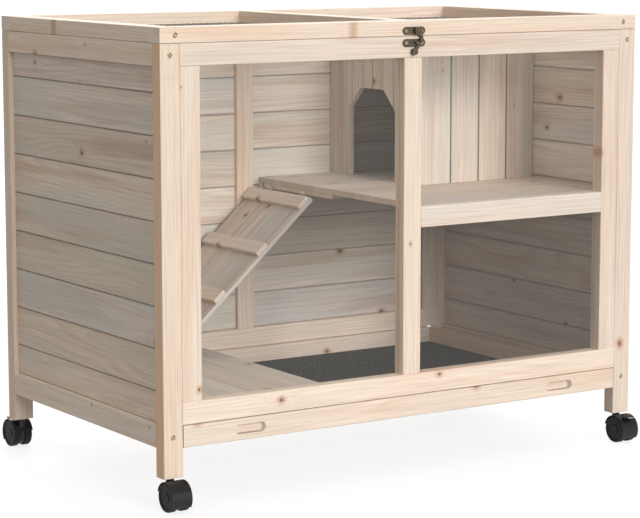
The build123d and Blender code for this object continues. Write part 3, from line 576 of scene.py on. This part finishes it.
# ---------------------------------------------------------------- timber and boards
@dataclass
class Joinery:
    """All timbers and boards, each with its grain along its length, its own shade, and painted light and shade
    on some of them.
    """

    palette: Palette
    arris_mm: float = 0.35          # rounding left by sanding on every edge
    shortest_edge_mm: float = 6.0   # edges shorter than this, such as those of bores, aren't sanded
    tray_back_lift_mm: float = 2.4  # leaves half a millimetre under the back rail
    groove_painted_shade: float = 0.8       # painted shade on the chamfers along a joint between boards, so that the joints show
    # painted shade on the chamfers of the joints, for each panel
    groove_painted_shades: dict[str, float] = field(default_factory=lambda: {
        "side_boards_left": 0.7, "side_boards_right": 0.7, "back_boards": 0.75,
        "bedroom_front_wall": 0.55, "bedroom_side_wall": 0.75})
    # painted shade: darker, warmer tints on the sideways faces of the two left legs, which the lamps leave too
    # pale and cool
    leg_side_painted_shade: dict[str, tuple[float, float, float]] = field(default_factory=lambda: {
        "leg_front_left": (1.0, 0.80, 0.63), "leg_back_left": (0.90, 0.86, 0.82)})
    grip_painted_shade: float = 0.66        # painted shade on the walls of the finger grips, so that the shallow grips show
    shade_spread: float = 0.05
    warmth_spread: float = 0.035
    tongue_mm: float = 3.0          # thickness of the tongue that shows in an open joint
    tongued: tuple[str, ...] = ("side_boards_left", "side_boards_right", "back_boards")
    # tints for some nodes: partly the boards' own tone, partly painted light and shade that the lamps don't
    # give each board
    tint_and_painted_light: dict[str, tuple[float, float, float]] = field(default_factory=lambda: {
        "front_sill_rail": (1.04, 1.06, 1.08), "front_crossbar": (1.03, 1.08, 1.12),
        "back_boards": (1.03, 1.07, 1.11), "bedroom_front_wall": (1.06, 1.09, 1.13),
        "bedroom_side_wall": (1.02, 1.09, 1.14), "side_boards_right": (1.04, 1.08, 1.11),
        "side_boards_left": (1.0, 0.97, 0.93), "ladder_boards": (0.89, 0.91, 0.93),
        "ladder_cleats": (0.88, 0.90, 0.93), "platform_boards": (1.03, 1.04, 1.07),
        "front_stile_left": (1.01, 1.03, 1.05)})

    def build(self) -> None:
        """Makes one piece for every wooden node of the frame."""
        roles = {role.value: role for role in Role}
        for part in frame["record"]["subparts"]:
            if part["material_slot"] in roles:
                self.dress(part["node"], roles[part["material_slot"]])

    def dress(self, node: str, role: Role) -> None:
        """Makes the piece that stands for one wooden node.

        Args:
            node: Name of the CAD node.
            role: Whether it is frame timber or panel board.
        """
        bm = cad_copy(node)
        if node in self.tongued:
            self.add_tongues(bm)
        if node == "tray_back":
            self.raise_top(bm)
        self.ease(bm)
        self.mark_grain(bm, node, role)
        finish = self.palette.timber if role is Role.FRAME else self.palette.board
        piece = new_piece(f"{node}_grained", bm, finish, smooth_deg=50.0)
        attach(piece, body_of_node(node))
        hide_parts(node)
        log.info("timber %s", node)

    def ease(self, bm: bmesh.types.BMesh) -> None:
        """Rounds the long edges a little, as sanding does.

        Args:
            bm: The node's mesh.
        """
        corner = math.radians(30)
        edges = [e for e in bm.edges if e.is_manifold and e.calc_length() > self.shortest_edge_mm * MM
                 and e.calc_face_angle(0.0) > corner]
        bmesh.ops.bevel(bm, geom=edges, offset=self.arris_mm * MM, segments=2, profile=0.5,
                        affect="EDGES", clamp_overlap=True)

    def add_tongues(self, bm: bmesh.types.BMesh) -> None:
        """Closes the open joints of a panel with the tongue that sits in each of them.

        Args:
            bm: The panel's mesh.
        """
        boards = [span(group) for group in islands(bm)]
        for low, high in boards:
            above = [b for b in boards if 0 < b[0].z - high.z < 2 * MM and abs(b[0].x - low.x) < MM]
            for upper, _ in above:
                thin = 0 if high.x - low.x < high.y - low.y else 1
                start, end = Vector(low), Vector(high)
                middle = (low[thin] + high[thin]) / 2
                start[thin], end[thin] = middle - self.tongue_mm * MM / 2, middle + self.tongue_mm * MM / 2
                start.z, end.z = high.z, upper.z
                block(bm, start, end)

    def raise_top(self, bm: bmesh.types.BMesh) -> None:
        """Brings the tray's back close under the frame, so that no light shows between them.

        Args:
            bm: The tray back's mesh.
        """
        low, high = span(bm.verts[:])
        for vert in bm.verts:
            if vert.co.z > high.z - (high.z - low.z) / 4:
                vert.co.z += self.tray_back_lift_mm * MM

    def mark_grain(self, bm: bmesh.types.BMesh, node: str, role: Role) -> None:
        """Stores grain coordinates and a tint on every solid of a node.

        The first coordinate runs along the longest edge, the third out of the broadest face. Each
        solid is cut from its own place in its own log.

        Args:
            bm: The node's mesh.
            node: Its name, which seeds the choice.
            role: Boards vary more in shade than frame timber does.
        """
        grain = bm.verts.layers.float_vector.new("grain")
        tint = bm.loops.layers.float_vector.new("tint")
        spread = 1.0 if role is Role.FRAME else 1.6
        for number, group in enumerate(islands(bm)):
            dice = random.Random(f"{node} {number}")
            edges = dict.fromkeys(e for v in group for e in v.link_edges)
            faces = dict.fromkeys(f for v in group for f in v.link_faces)
            longest = max(edges, key=lambda e: (round(e.calc_length(), 6), settled(e.verts)))
            broadest = max(faces, key=lambda f: (round(f.calc_area(), 8), settled(f.verts)))
            along = (longest.verts[1].co - longest.verts[0].co).normalized()
            if max(along, key=abs) < 0:
                along = -along
            out = broadest.normal.normalized()
            across = out.cross(along).normalized()
            low, high = span(group)
            centre = (low + high) / 2
            cut = Vector((dice.uniform(0, 6), dice.uniform(-70, 70) * MM, dice.uniform(25, 110) * MM))
            shade = 1 + dice.uniform(-1, 1) * self.shade_spread * spread
            warm = dice.uniform(-1, 1) * self.warmth_spread * spread
            colour = Vector((shade * (1 + warm * 0.5), shade, shade * (1 - warm)))
            # the node's tint: partly its own tone, partly painted light and shade
            colour = colour * Vector(self.tint_and_painted_light.get(node, (1.0, 1.0, 1.0)))
            for vert in group:
                local = vert.co - centre
                vert[grain] = Vector((local.dot(along), local.dot(across), local.dot(out))) + cut
            for face in faces:
                slant = 0.1 < abs(face.normal.dot(out)) < 0.97 and abs(face.normal.dot(along)) < 0.5
                shown = colour.copy()
                # painted shade on the chamfers along the joints between boards
                if slant and role is Role.PANEL:
                    shown *= self.groove_painted_shades.get(node, self.groove_painted_shade)
                # painted shade on the sideways faces of the left legs
                if node in self.leg_side_painted_shade and abs(face.normal.x) > 0.7:
                    shown = shown * Vector(self.leg_side_painted_shade[node])
                # painted shade inside the finger grips
                if node == "tray_front" and self.in_grip(face, low, high):
                    shown = shown * self.grip_painted_shade
                for loop in face.loops:
                    loop[tint] = shown

    def in_grip(self, face: bmesh.types.BMFace, low: Vector, high: Vector) -> bool:
        """Whether a face is a wall of a finger grip, inside the tray front's outline."""
        middle, rim = face.calc_center_median(), 3 * MM
        inside = low.x + rim < middle.x < high.x - rim and low.z + rim < middle.z < high.z - rim
        return inside and abs(face.normal.y) < 0.7


def body_of_node(node: str) -> str:
    """Name of the body that a CAD node belongs to."""
    bodies = frame["record"]["behaviour"]["bodies"]
    return next(body for body, nodes in bodies.items() if node in nodes)


# ---------------------------------------------------------------- panes
@dataclass
class Glazing:
    """The three clear panes, polished at their edges."""

    palette: Palette
    edge_mm: float = 0.3

    def build(self) -> None:
        """Makes the panes."""
        bm = cad_copy("window_panes")
        bmesh.ops.bevel(bm, geom=list(bm.edges), offset=self.edge_mm * MM / 2, segments=1, affect="EDGES",
                        clamp_overlap=True)
        piece = new_piece("clear_panes", bm, self.palette.acrylic)
        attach(piece, "cabinet")
        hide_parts("window_panes")
        log.info("clear panes")


# ---------------------------------------------------------------- wire lid
@dataclass
class WirePanel:
    """Welded wire mesh in one half of the lid: two layers of straight wires that cross and touch."""

    palette: Palette
    pitch_mm: float = 12.7
    wire_mm: float = 1.1
    inset_mm: float = 1.5

    def tree(self) -> bpy.types.NodeTree:
        """Builds the node tree that lays the wires.

        Returns:
            A geometry tree with inputs for the panel's size, the pitch and the wire.
        """
        tree = bpy.data.node_groups.new("welded_wire", "GeometryNodeTree")
        sockets = tree.interface
        for name, kind in (("Width", "NodeSocketFloat"), ("Depth", "NodeSocketFloat"),
                           ("Pitch", "NodeSocketFloat"), ("Wire Radius", "NodeSocketFloat"),
                           ("Centre", "NodeSocketVector"), ("Finish", "NodeSocketMaterial")):
            sockets.new_socket(name, in_out="INPUT", socket_type=kind)
        sockets.new_socket("Wires", in_out="OUTPUT", socket_type="NodeSocketGeometry")
        given = add(tree, "NodeGroupInput").outputs
        profile = add(tree, "GeometryNodeCurvePrimitiveCircle", {"Resolution": 8,
                                                                 "Radius": given["Wire Radius"]})
        layers = []
        for run, rise, turned in ((given["Width"], given["Depth"], False),
                                  (given["Depth"], given["Width"], True)):
            count = add(tree, "ShaderNodeMath", {0: rise, 1: given["Pitch"]}, operation="DIVIDE")
            whole = add(tree, "ShaderNodeMath", {0: count.outputs[0]}, operation="FLOOR")
            covered = add(tree, "ShaderNodeMath", {0: whole.outputs[0], 1: given["Pitch"]},
                          operation="MULTIPLY")
            start = add(tree, "ShaderNodeMath", {0: covered.outputs[0], 1: -0.5}, operation="MULTIPLY")
            wires = add(tree, "ShaderNodeMath", {0: whole.outputs[0], 1: 1.0}, operation="ADD")
            level = add(tree, "ShaderNodeMath", {0: given["Wire Radius"], 1: 1.0 if turned else -1.0},
                        operation="MULTIPLY")
            first = add(tree, "ShaderNodeCombineXYZ", {"X" if turned else "Y": start.outputs[0],
                                                       "Z": level.outputs[0]})
            step = add(tree, "ShaderNodeCombineXYZ", {"X" if turned else "Y": given["Pitch"]})
            places = add(tree, "GeometryNodeMeshLine", {"Count": wires.outputs[0],
                                                        "Start Location": first.outputs[0],
                                                        "Offset": step.outputs[0]}, mode="OFFSET")
            half = add(tree, "ShaderNodeMath", {0: run, 1: 0.5}, operation="MULTIPLY")
            back = add(tree, "ShaderNodeMath", {0: run, 1: -0.5}, operation="MULTIPLY")
            low = add(tree, "ShaderNodeCombineXYZ", {"Y" if turned else "X": back.outputs[0]})
            high = add(tree, "ShaderNodeCombineXYZ", {"Y" if turned else "X": half.outputs[0]})
            wire = add(tree, "GeometryNodeCurvePrimitiveLine", {"Start": low.outputs[0],
                                                                "End": high.outputs[0]})
            layers.append(add(tree, "GeometryNodeInstanceOnPoints", {"Points": places.outputs[0],
                                                                     "Instance": wire.outputs[0]}))
        joined = add(tree, "GeometryNodeJoinGeometry")
        for layer in layers:
            tree.links.new(layer.outputs[0], joined.inputs[0])
        curves = add(tree, "GeometryNodeRealizeInstances", {"Geometry": joined.outputs[0]})
        tubes = add(tree, "GeometryNodeCurveToMesh", {"Curve": curves.outputs[0],
                                                      "Profile Curve": profile.outputs[0],
                                                      "Fill Caps": True})
        placed = add(tree, "GeometryNodeTransform", {"Geometry": tubes.outputs[0],
                                                     "Translation": given["Centre"]})
        whole_mesh = add(tree, "GeometryNodeRealizeInstances", {"Geometry": placed.outputs[0]})
        finished = add(tree, "GeometryNodeSetMaterial", {"Geometry": whole_mesh.outputs[0],
                                                         "Material": given["Finish"]})
        add(tree, "NodeGroupOutput", {0: finished.outputs[0]})
        return tree

    def build(self, side: str, tree: bpy.types.NodeTree) -> None:
        """Makes the mesh of one half of the lid.

        Args:
            side: left or right.
            tree: The tree that lays the wires.
        """
        node = f"lid_mesh_{side}"
        low, high = (Vector(corner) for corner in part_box(node))
        size = high - low
        piece = grown(f"wire_{side}", tree, {
            "Width": size.x - 2 * self.inset_mm * MM, "Depth": size.y - 2 * self.inset_mm * MM,
            "Pitch": self.pitch_mm * MM, "Wire Radius": self.wire_mm * MM / 2,
            "Centre": (low + high) / 2, "Finish": self.palette.wire})
        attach(piece, "lid")
        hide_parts(node)
        log.info("wire panel %s", side)


def grown(name: str, tree: bpy.types.NodeTree, values: dict[str, object],
          seed_mesh: bpy.types.Mesh | None = None) -> bpy.types.Object:
    """Runs a geometry tree and keeps its result as a plain mesh.

    Args:
        name: Name of the piece.
        tree: The geometry tree.
        values: Input name to its value.
        seed_mesh: Mesh that the tree starts from, where it needs one.

    Returns:
        The object that holds the finished mesh.
    """
    carrier = bpy.data.objects.new(f"{name}_carrier", seed_mesh or bpy.data.meshes.new(f"{name}_seed"))
    bpy.context.scene.collection.objects.link(carrier)
    modifier = carrier.modifiers.new("grow", "NODES")
    modifier.node_group = tree
    sockets = {item.name: item.identifier for item in tree.interface.items_tree if item.in_out == "INPUT"}
    for key, value in values.items():
        modifier[sockets[key]] = value
    graph = bpy.context.evaluated_depsgraph_get()
    mesh = bpy.data.meshes.new_from_object(carrier.evaluated_get(graph), depsgraph=graph)
    mesh.name = name
    bpy.data.objects.remove(carrier)
    for face in mesh.polygons:
        face.use_smooth = True
    mesh.set_sharp_from_angle(angle=math.radians(40))
    piece = bpy.data.objects.new(name, mesh)
    bpy.context.scene.collection.objects.link(piece)
    return piece


# ---------------------------------------------------------------- screws
@dataclass
class ScrewSet:
    """Cross-head screws of one size: a domed head with a sunk cross, turned as a driver left it."""

    node: str
    body: str
    finish: bpy.types.Material
    cross_part: float = 0.74        # arm length of the cross, as part of the head's radius
    arm_part: float = 0.24          # arm width, the same way
    sink_part: float = 0.28         # depth of the cross
    dome_part: float = 0.30         # height of the dome
    rings: int = 32

    def head(self, radius: float, dome: float) -> bmesh.types.BMesh:
        """Makes one head about the origin, facing +Z, with its cross cut into the dome.

        Args:
            radius: Radius of the head in metres.
            dome: Height of the dome in metres.

        Returns:
            The head's mesh.
        """
        bm = bmesh.new()
        steps = 6
        profile = [(-dome * 1.6, 0.0), (-dome * 1.6, radius * 0.96), (-dome * 0.4, radius), (0.0, radius)]
        for i in range(1, steps):
            part = math.pi / 2 * i / steps
            profile.append((dome * math.sin(part), radius * math.cos(part) ** 0.8))
        profile.append((dome, 0.0))
        lathe(bm, profile, Vector((0, 0, 0)), Vector((0, 0, 1)), self.rings)
        arm, reach = radius * self.arm_part, radius * self.cross_part
        for co, no in (((arm, 0, 0), (1, 0, 0)), ((-arm, 0, 0), (1, 0, 0)), ((0, arm, 0), (0, 1, 0)),
                       ((0, -arm, 0), (0, 1, 0)), ((reach, 0, 0), (1, 0, 0)), ((-reach, 0, 0), (1, 0, 0)),
                       ((0, reach, 0), (0, 1, 0)), ((0, -reach, 0), (0, 1, 0))):
            bmesh.ops.bisect_plane(bm, geom=bm.verts[:] + bm.edges[:] + bm.faces[:], plane_co=co,
                                   plane_no=no, dist=1e-8)
        sunk = []
        for face in bm.faces:
            middle = face.calc_center_median()
            near, far = sorted((abs(middle.x), abs(middle.y)))
            if middle.z > 0 and near < arm and far < reach:
                sunk.append(face)
        moved = bmesh.ops.extrude_face_region(bm, geom=sunk)["geom"]
        bmesh.ops.delete(bm, geom=sunk, context="FACES")
        low = [v for v in moved if isinstance(v, bmesh.types.BMVert)]
        for vert in low:
            vert.co.z = dome - radius * self.sink_part * (1 - 0.5 * vert.co.xy.length / reach)
            vert.co.xy *= 0.88
        return bm

    def tree(self) -> bpy.types.NodeTree:
        """Builds the node tree that sets a head on each point.

        Returns:
            A geometry tree with inputs for the head and the finish.
        """
        tree = bpy.data.node_groups.new(f"{self.node}_setter", "GeometryNodeTree")
        for name, kind in (("Points", "NodeSocketGeometry"), ("Head", "NodeSocketObject"),
                           ("Finish", "NodeSocketMaterial")):
            tree.interface.new_socket(name, in_out="INPUT", socket_type=kind)
        tree.interface.new_socket("Screws", in_out="OUTPUT", socket_type="NodeSocketGeometry")
        given = add(tree, "NodeGroupInput").outputs
        head = add(tree, "GeometryNodeObjectInfo", {"Object": given["Head"]})
        turn = add(tree, "GeometryNodeInputNamedAttribute", {"Name": "turn"}, data_type="FLOAT_VECTOR")
        rotation = add(tree, "FunctionNodeEulerToRotation", {0: turn.outputs[0]})
        heads = add(tree, "GeometryNodeInstanceOnPoints", {"Points": given["Points"],
                                                           "Instance": head.outputs["Geometry"],
                                                           "Rotation": rotation.outputs[0]})
        real = add(tree, "GeometryNodeRealizeInstances", {"Geometry": heads.outputs[0]})
        done = add(tree, "GeometryNodeSetMaterial", {"Geometry": real.outputs[0],
                                                     "Material": given["Finish"]})
        add(tree, "NodeGroupOutput", {0: done.outputs[0]})
        return tree

    def build(self) -> None:
        """Makes the screws of this set from the places of the CAD's screws."""
        bm = cad_copy(self.node)
        dice = random.Random(self.node)
        places, turns, radius = [], [], 0.0
        for group in islands(bm):
            low, high = span(group)
            facing = -1.0 if low.y < 0 else 1.0
            radius = (high.z - low.z) / 2
            middle = (low + high) / 2
            places.append(Vector((middle.x, low.y if facing < 0 else high.y, middle.z)))
            spin = dice.uniform(0, math.pi / 2)
            upright = Euler((math.radians(90) if facing < 0 else math.radians(-90), 0, 0)).to_matrix()
            turns.append((upright @ Matrix.Rotation(spin, 3, "Z")).to_euler())
        bm.free()
        dome = radius * self.dome_part
        for place in places:
            place.y += dome if place.y < 0 else -dome
        points = bpy.data.meshes.new(f"{self.node}_points")
        points.from_pydata(places, [], [])
        stored = points.attributes.new("turn", "FLOAT_VECTOR", "POINT")
        for item, turn in zip(stored.data, turns):
            item.vector = turn
        head = new_piece(f"{self.node}_head", self.head(radius, dome), self.finish)
        piece = grown(f"{self.node}_heads", self.tree(), {"Head": head, "Finish": self.finish}, points)
        bpy.data.objects.remove(head)
        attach(piece, self.body)
        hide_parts(self.node)
        log.info("screws %s", self.node)


# ---------------------------------------------------------------- latch
@dataclass
class HookLatch:
    """Antique hook latch of cast zinc: two lobed plates, a domed pivot and a crooked arm with a knob."""

    palette: Palette
    rim_mm: float = 0.45

    def plate(self, node: str, body: str) -> None:
        """Makes a plate from its CAD node, with the soft edges of a casting.

        Args:
            node: Name of the CAD node.
            body: Body that it rides on.
        """
        bm = cad_copy(node)
        edges = [e for e in bm.edges if e.is_manifold and e.calc_face_angle(0.0) > math.radians(50)]
        bmesh.ops.bevel(bm, geom=edges, offset=self.rim_mm * MM, segments=3, affect="EDGES",
                        clamp_overlap=True)
        piece = new_piece(f"{node}_cast", bm, self.palette.bronze, smooth_deg=60.0)
        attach(piece, body)
        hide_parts(node)
        log.info("latch %s", node)

    def build(self) -> None:
        """Makes the latch."""
        self.plate("latch_plate", "lid")
        self.plate("latch_arm", "latch_arm")
        self.plate("latch_catch", "cabinet")


# ---------------------------------------------------------------- metal and castors
@dataclass
class SmallMetal:
    """Hinges, screw eyes and castor stems, with their edges broken as plating leaves them."""

    palette: Palette
    edge_mm: float = 0.2
    nodes: tuple[str, ...] = ("hinge_fixed_leaves", "hinge_lid_leaves", "castor_stems",
                              "shelf_screw_eyes", "ladder_screw_eyes")

    def build(self) -> None:
        """Makes one piece for each of the nodes."""
        for node in self.nodes:
            bm = cad_copy(node)
            edges = [e for e in bm.edges if e.is_manifold and e.calc_face_angle(0.0) > math.radians(60)
                     and e.calc_length() > 3 * MM]
            bmesh.ops.bevel(bm, geom=edges, offset=self.edge_mm * MM, segments=2, affect="EDGES",
                            clamp_overlap=True)
            piece = new_piece(f"{node}_plated", bm, self.palette.zinc, smooth_deg=40.0)
            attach(piece, body_of_node(node))
            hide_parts(node)
            log.info("metal %s", node)


@dataclass
class Castor:
    """One twin-wheel castor: hood, two treaded wheels with dished sides, and a pedal on some."""

    palette: Palette
    corner: str
    ridge_count: int = 5
    ridge_mm: float = 0.35
    dish_mm: float = 1.6
    hub_part: float = 0.34

    def build(self) -> None:
        """Makes the castor."""
        self.shell(f"castor_hood_{self.corner}")
        self.wheels()
        if f"brake_pedal_{self.corner}" in frame["nodes"]:
            self.shell(f"brake_pedal_{self.corner}")
        log.info("castor %s", self.corner)

    def shell(self, node: str) -> None:
        """Makes a moulded piece from its CAD node, with soft edges.

        Args:
            node: Name of the CAD node.
        """
        bm = cad_copy(node)
        edges = [e for e in bm.edges if e.is_manifold and e.calc_face_angle(0.0) > math.radians(50)]
        bmesh.ops.bevel(bm, geom=edges, offset=0.35 * MM, segments=2, affect="EDGES", clamp_overlap=True)
        piece = new_piece(f"{node}_moulded", bm, self.palette.nylon, smooth_deg=45.0)
        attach(piece, body_of_node(node))
        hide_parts(node)

    def wheels(self) -> None:
        """Makes both wheels: a ribbed tread, a rounded shoulder, a dished side and a raised hub."""
        node = f"castor_wheels_{self.corner}"
        source = cad_copy(node)
        spans = sorted((span(group) for group in islands(source)), key=lambda pair: pair[0].x)
        source.free()
        bm = bmesh.new()
        for number, (low, high) in enumerate(spans):
            centre = (low + high) / 2
            outward = -1.0 if number == 0 else 1.0
            lathe(bm, self.profile((high.x - low.x), (high.z - low.z) / 2), centre,
                  Vector((outward, 0, 0)), 72)
        piece = new_piece(f"{node}_treaded", bm, self.palette.tread, smooth_deg=30.0)
        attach(piece, body_of_node(node))
        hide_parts(node)

    def profile(self, width: float, radius: float) -> list[tuple[float, float]]:
        """Profile of one wheel, from its inner side to its outer side.

        Args:
            width: Width of the wheel in metres.
            radius: Radius of the tread in metres.

        Returns:
            Points as distance along the axle and radius.
        """
        half, bore, hub = width / 2, 3.1 * MM, radius * self.hub_part
        shoulder, dish = 2.2 * MM, self.dish_mm * MM
        points = [(-half, bore), (-half, radius - shoulder), (-half + shoulder * 0.3, radius - shoulder * 0.3),
                  (-half + shoulder, radius)]
        flat = width - 2 * shoulder
        for i in range(self.ridge_count):
            at = -half + shoulder + flat * (i + 0.5) / self.ridge_count
            gap = flat / self.ridge_count * 0.18
            points += [(at - gap, radius), (at, radius - self.ridge_mm * MM), (at + gap, radius)]
        points += [(half - shoulder, radius), (half - shoulder * 0.3, radius - shoulder * 0.3),
                   (half, radius - shoulder), (half, radius - shoulder - 1.2 * MM),
                   (half - dish, radius - shoulder - 2.6 * MM), (half - dish, hub + 1.2 * MM),
                   (half - dish * 0.25, hub), (half - dish * 0.25, bore), (-half, bore)]
        return points


@dataclass
class TrayLiner:
    """Dark grained liner of the tray, with a small turned-up lip."""

    palette: Palette
    edge_mm: float = 0.3

    def build(self) -> None:
        """Makes the liner."""
        bm = cad_copy("tray_pan")
        bmesh.ops.bevel(bm, geom=list(bm.edges), offset=self.edge_mm * MM, segments=2, affect="EDGES",
                        clamp_overlap=True)
        piece = new_piece("tray_liner", bm, self.palette.liner)
        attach(piece, "drawer")
        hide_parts("tray_pan")
        log.info("tray liner")


# ---------------------------------------------------------------- studio
@dataclass
class Studio:
    """White floor and surround, a soft key light from the front right, and the camera."""

    camera_at: Vector = field(default_factory=lambda: Vector((-2130.19, -3252.96, 879.37)) * MM)
    yaw_deg: float = 33.204
    pitch_deg: float = 8.207
    focal_mm: float = 130.43
    surround: float = 0.25          # strength of the room's own light, level and below
    ceiling: float = 0.90           # and straight above
    table_glow: float = 0.8         # the floor is a lit table of white acrylic
    key_strength: float = 2.15
    key_azimuth_deg: float = 4.0    # to the right of straight in front
    key_elevation_deg: float = 15.0
    key_spread_deg: float = 28.0    # a wide source, so its shadows are soft
    back_strength: float = 1.1      # a weaker light behind and to the right
    back_azimuth_deg: float = 150.0
    back_elevation_deg: float = 25.0

    def build(self) -> None:
        """Sets the stage."""
        self.camera()
        self.floor()
        self.lights()
        scene = bpy.context.scene
        scene.view_settings.view_transform = "Standard"
        scene.view_settings.look = "None"

    def camera(self) -> None:
        """Places the camera."""
        data = bpy.data.cameras.new("camera")
        data.sensor_width, data.lens = 36.0, self.focal_mm
        data.clip_end = 50.0
        camera = bpy.data.objects.new("camera", data)
        bpy.context.scene.collection.objects.link(camera)
        camera.location = self.camera_at
        camera.rotation_euler = (math.radians(90 - self.pitch_deg), 0, -math.radians(self.yaw_deg))
        bpy.context.scene.camera = camera

    def floor(self) -> None:
        """Lays a white floor."""
        material, _, shader = new_material("white_light_table")
        shader.inputs["Base Color"].default_value = (0.25, 0.25, 0.25, 1.0)
        shader.inputs["Roughness"].default_value = 0.9
        shader.inputs["Emission Color"].default_value = (1.0, 1.0, 1.0, 1.0)
        shader.inputs["Emission Strength"].default_value = self.table_glow
        bm = bmesh.new()
        bmesh.ops.create_grid(bm, x_segments=1, y_segments=1, size=30.0)
        piece = new_piece("floor", bm, material)
        piece.visible_diffuse = False

    def lights(self) -> None:
        """Sets the surround and the key light."""
        world = bpy.data.worlds.new("surround")
        bpy.context.scene.world = world
        world.use_nodes = True
        tree = world.node_tree
        tree.nodes.clear()
        seen = add(tree, "ShaderNodeLightPath").outputs["Is Camera Ray"]
        upward = add(tree, "ShaderNodeSeparateXYZ",
                     {0: add(tree, "ShaderNodeTexCoord").outputs["Generated"]}).outputs["Z"]
        glow = add(tree, "ShaderNodeMapRange", {"Value": upward, "To Min": self.surround,
                                                "To Max": self.ceiling})
        strength = add(tree, "ShaderNodeMapRange", {"Value": seen, "To Min": glow.outputs[0]})
        back = add(tree, "ShaderNodeBackground", {"Color": (1.0, 1.0, 1.0, 1.0),
                                                  "Strength": strength.outputs[0]})
        add(tree, "ShaderNodeOutputWorld", {"Surface": back.outputs[0]})
        self.lamp("key", self.key_strength, self.key_azimuth_deg, self.key_elevation_deg)
        self.lamp("back_light", self.back_strength, self.back_azimuth_deg, self.back_elevation_deg)

    def lamp(self, name: str, strength: float, azimuth_deg: float, elevation_deg: float) -> None:
        """Adds a broad, distant light.

        Args:
            name: Name of the light.
            strength: Its strength.
            azimuth_deg: Direction that it comes from, to the right of straight in front.
            elevation_deg: Its height above level.
        """
        data = bpy.data.lights.new(name, "SUN")
        data.energy, data.angle = strength, math.radians(self.key_spread_deg)
        light = bpy.data.objects.new(name, data)
        bpy.context.scene.collection.objects.link(light)
        azimuth, elevation = math.radians(azimuth_deg), math.radians(elevation_deg)
        towards = Vector((math.sin(azimuth) * math.cos(elevation),
                          -math.cos(azimuth) * math.cos(elevation), math.sin(elevation)))
        light.location = towards * 3
        light.rotation_euler = towards.to_track_quat("Z", "Y").to_euler()


def main() -> None:
    """Builds every sub-assembly of the hutch and the studio round it."""
    logging.basicConfig(level=logging.INFO, format="%(message)s")
    Studio().build()
    palette = Palette.mix()
    Joinery(palette).build()
    Glazing(palette).build()
    panel = WirePanel(palette)
    wires = panel.tree()
    for side in ("left", "right"):
        panel.build(side, wires)
    for node, body, finish in (("frame_screws", "cabinet", palette.brassed),
                               ("lid_screws", "lid", palette.brassed),
                               ("plate_screws_frame", "cabinet", palette.brassed),
                               ("plate_screws_lid", "lid", palette.brassed)):
        ScrewSet(node, body, finish).build()
    HookLatch(palette).build()
    SmallMetal(palette).build()
    TrayLiner(palette).build()
    for corner in ("front_left", "front_right", "back_left", "back_right"):
        Castor(palette, corner).build()


if __name__ == "__main__":
    main()
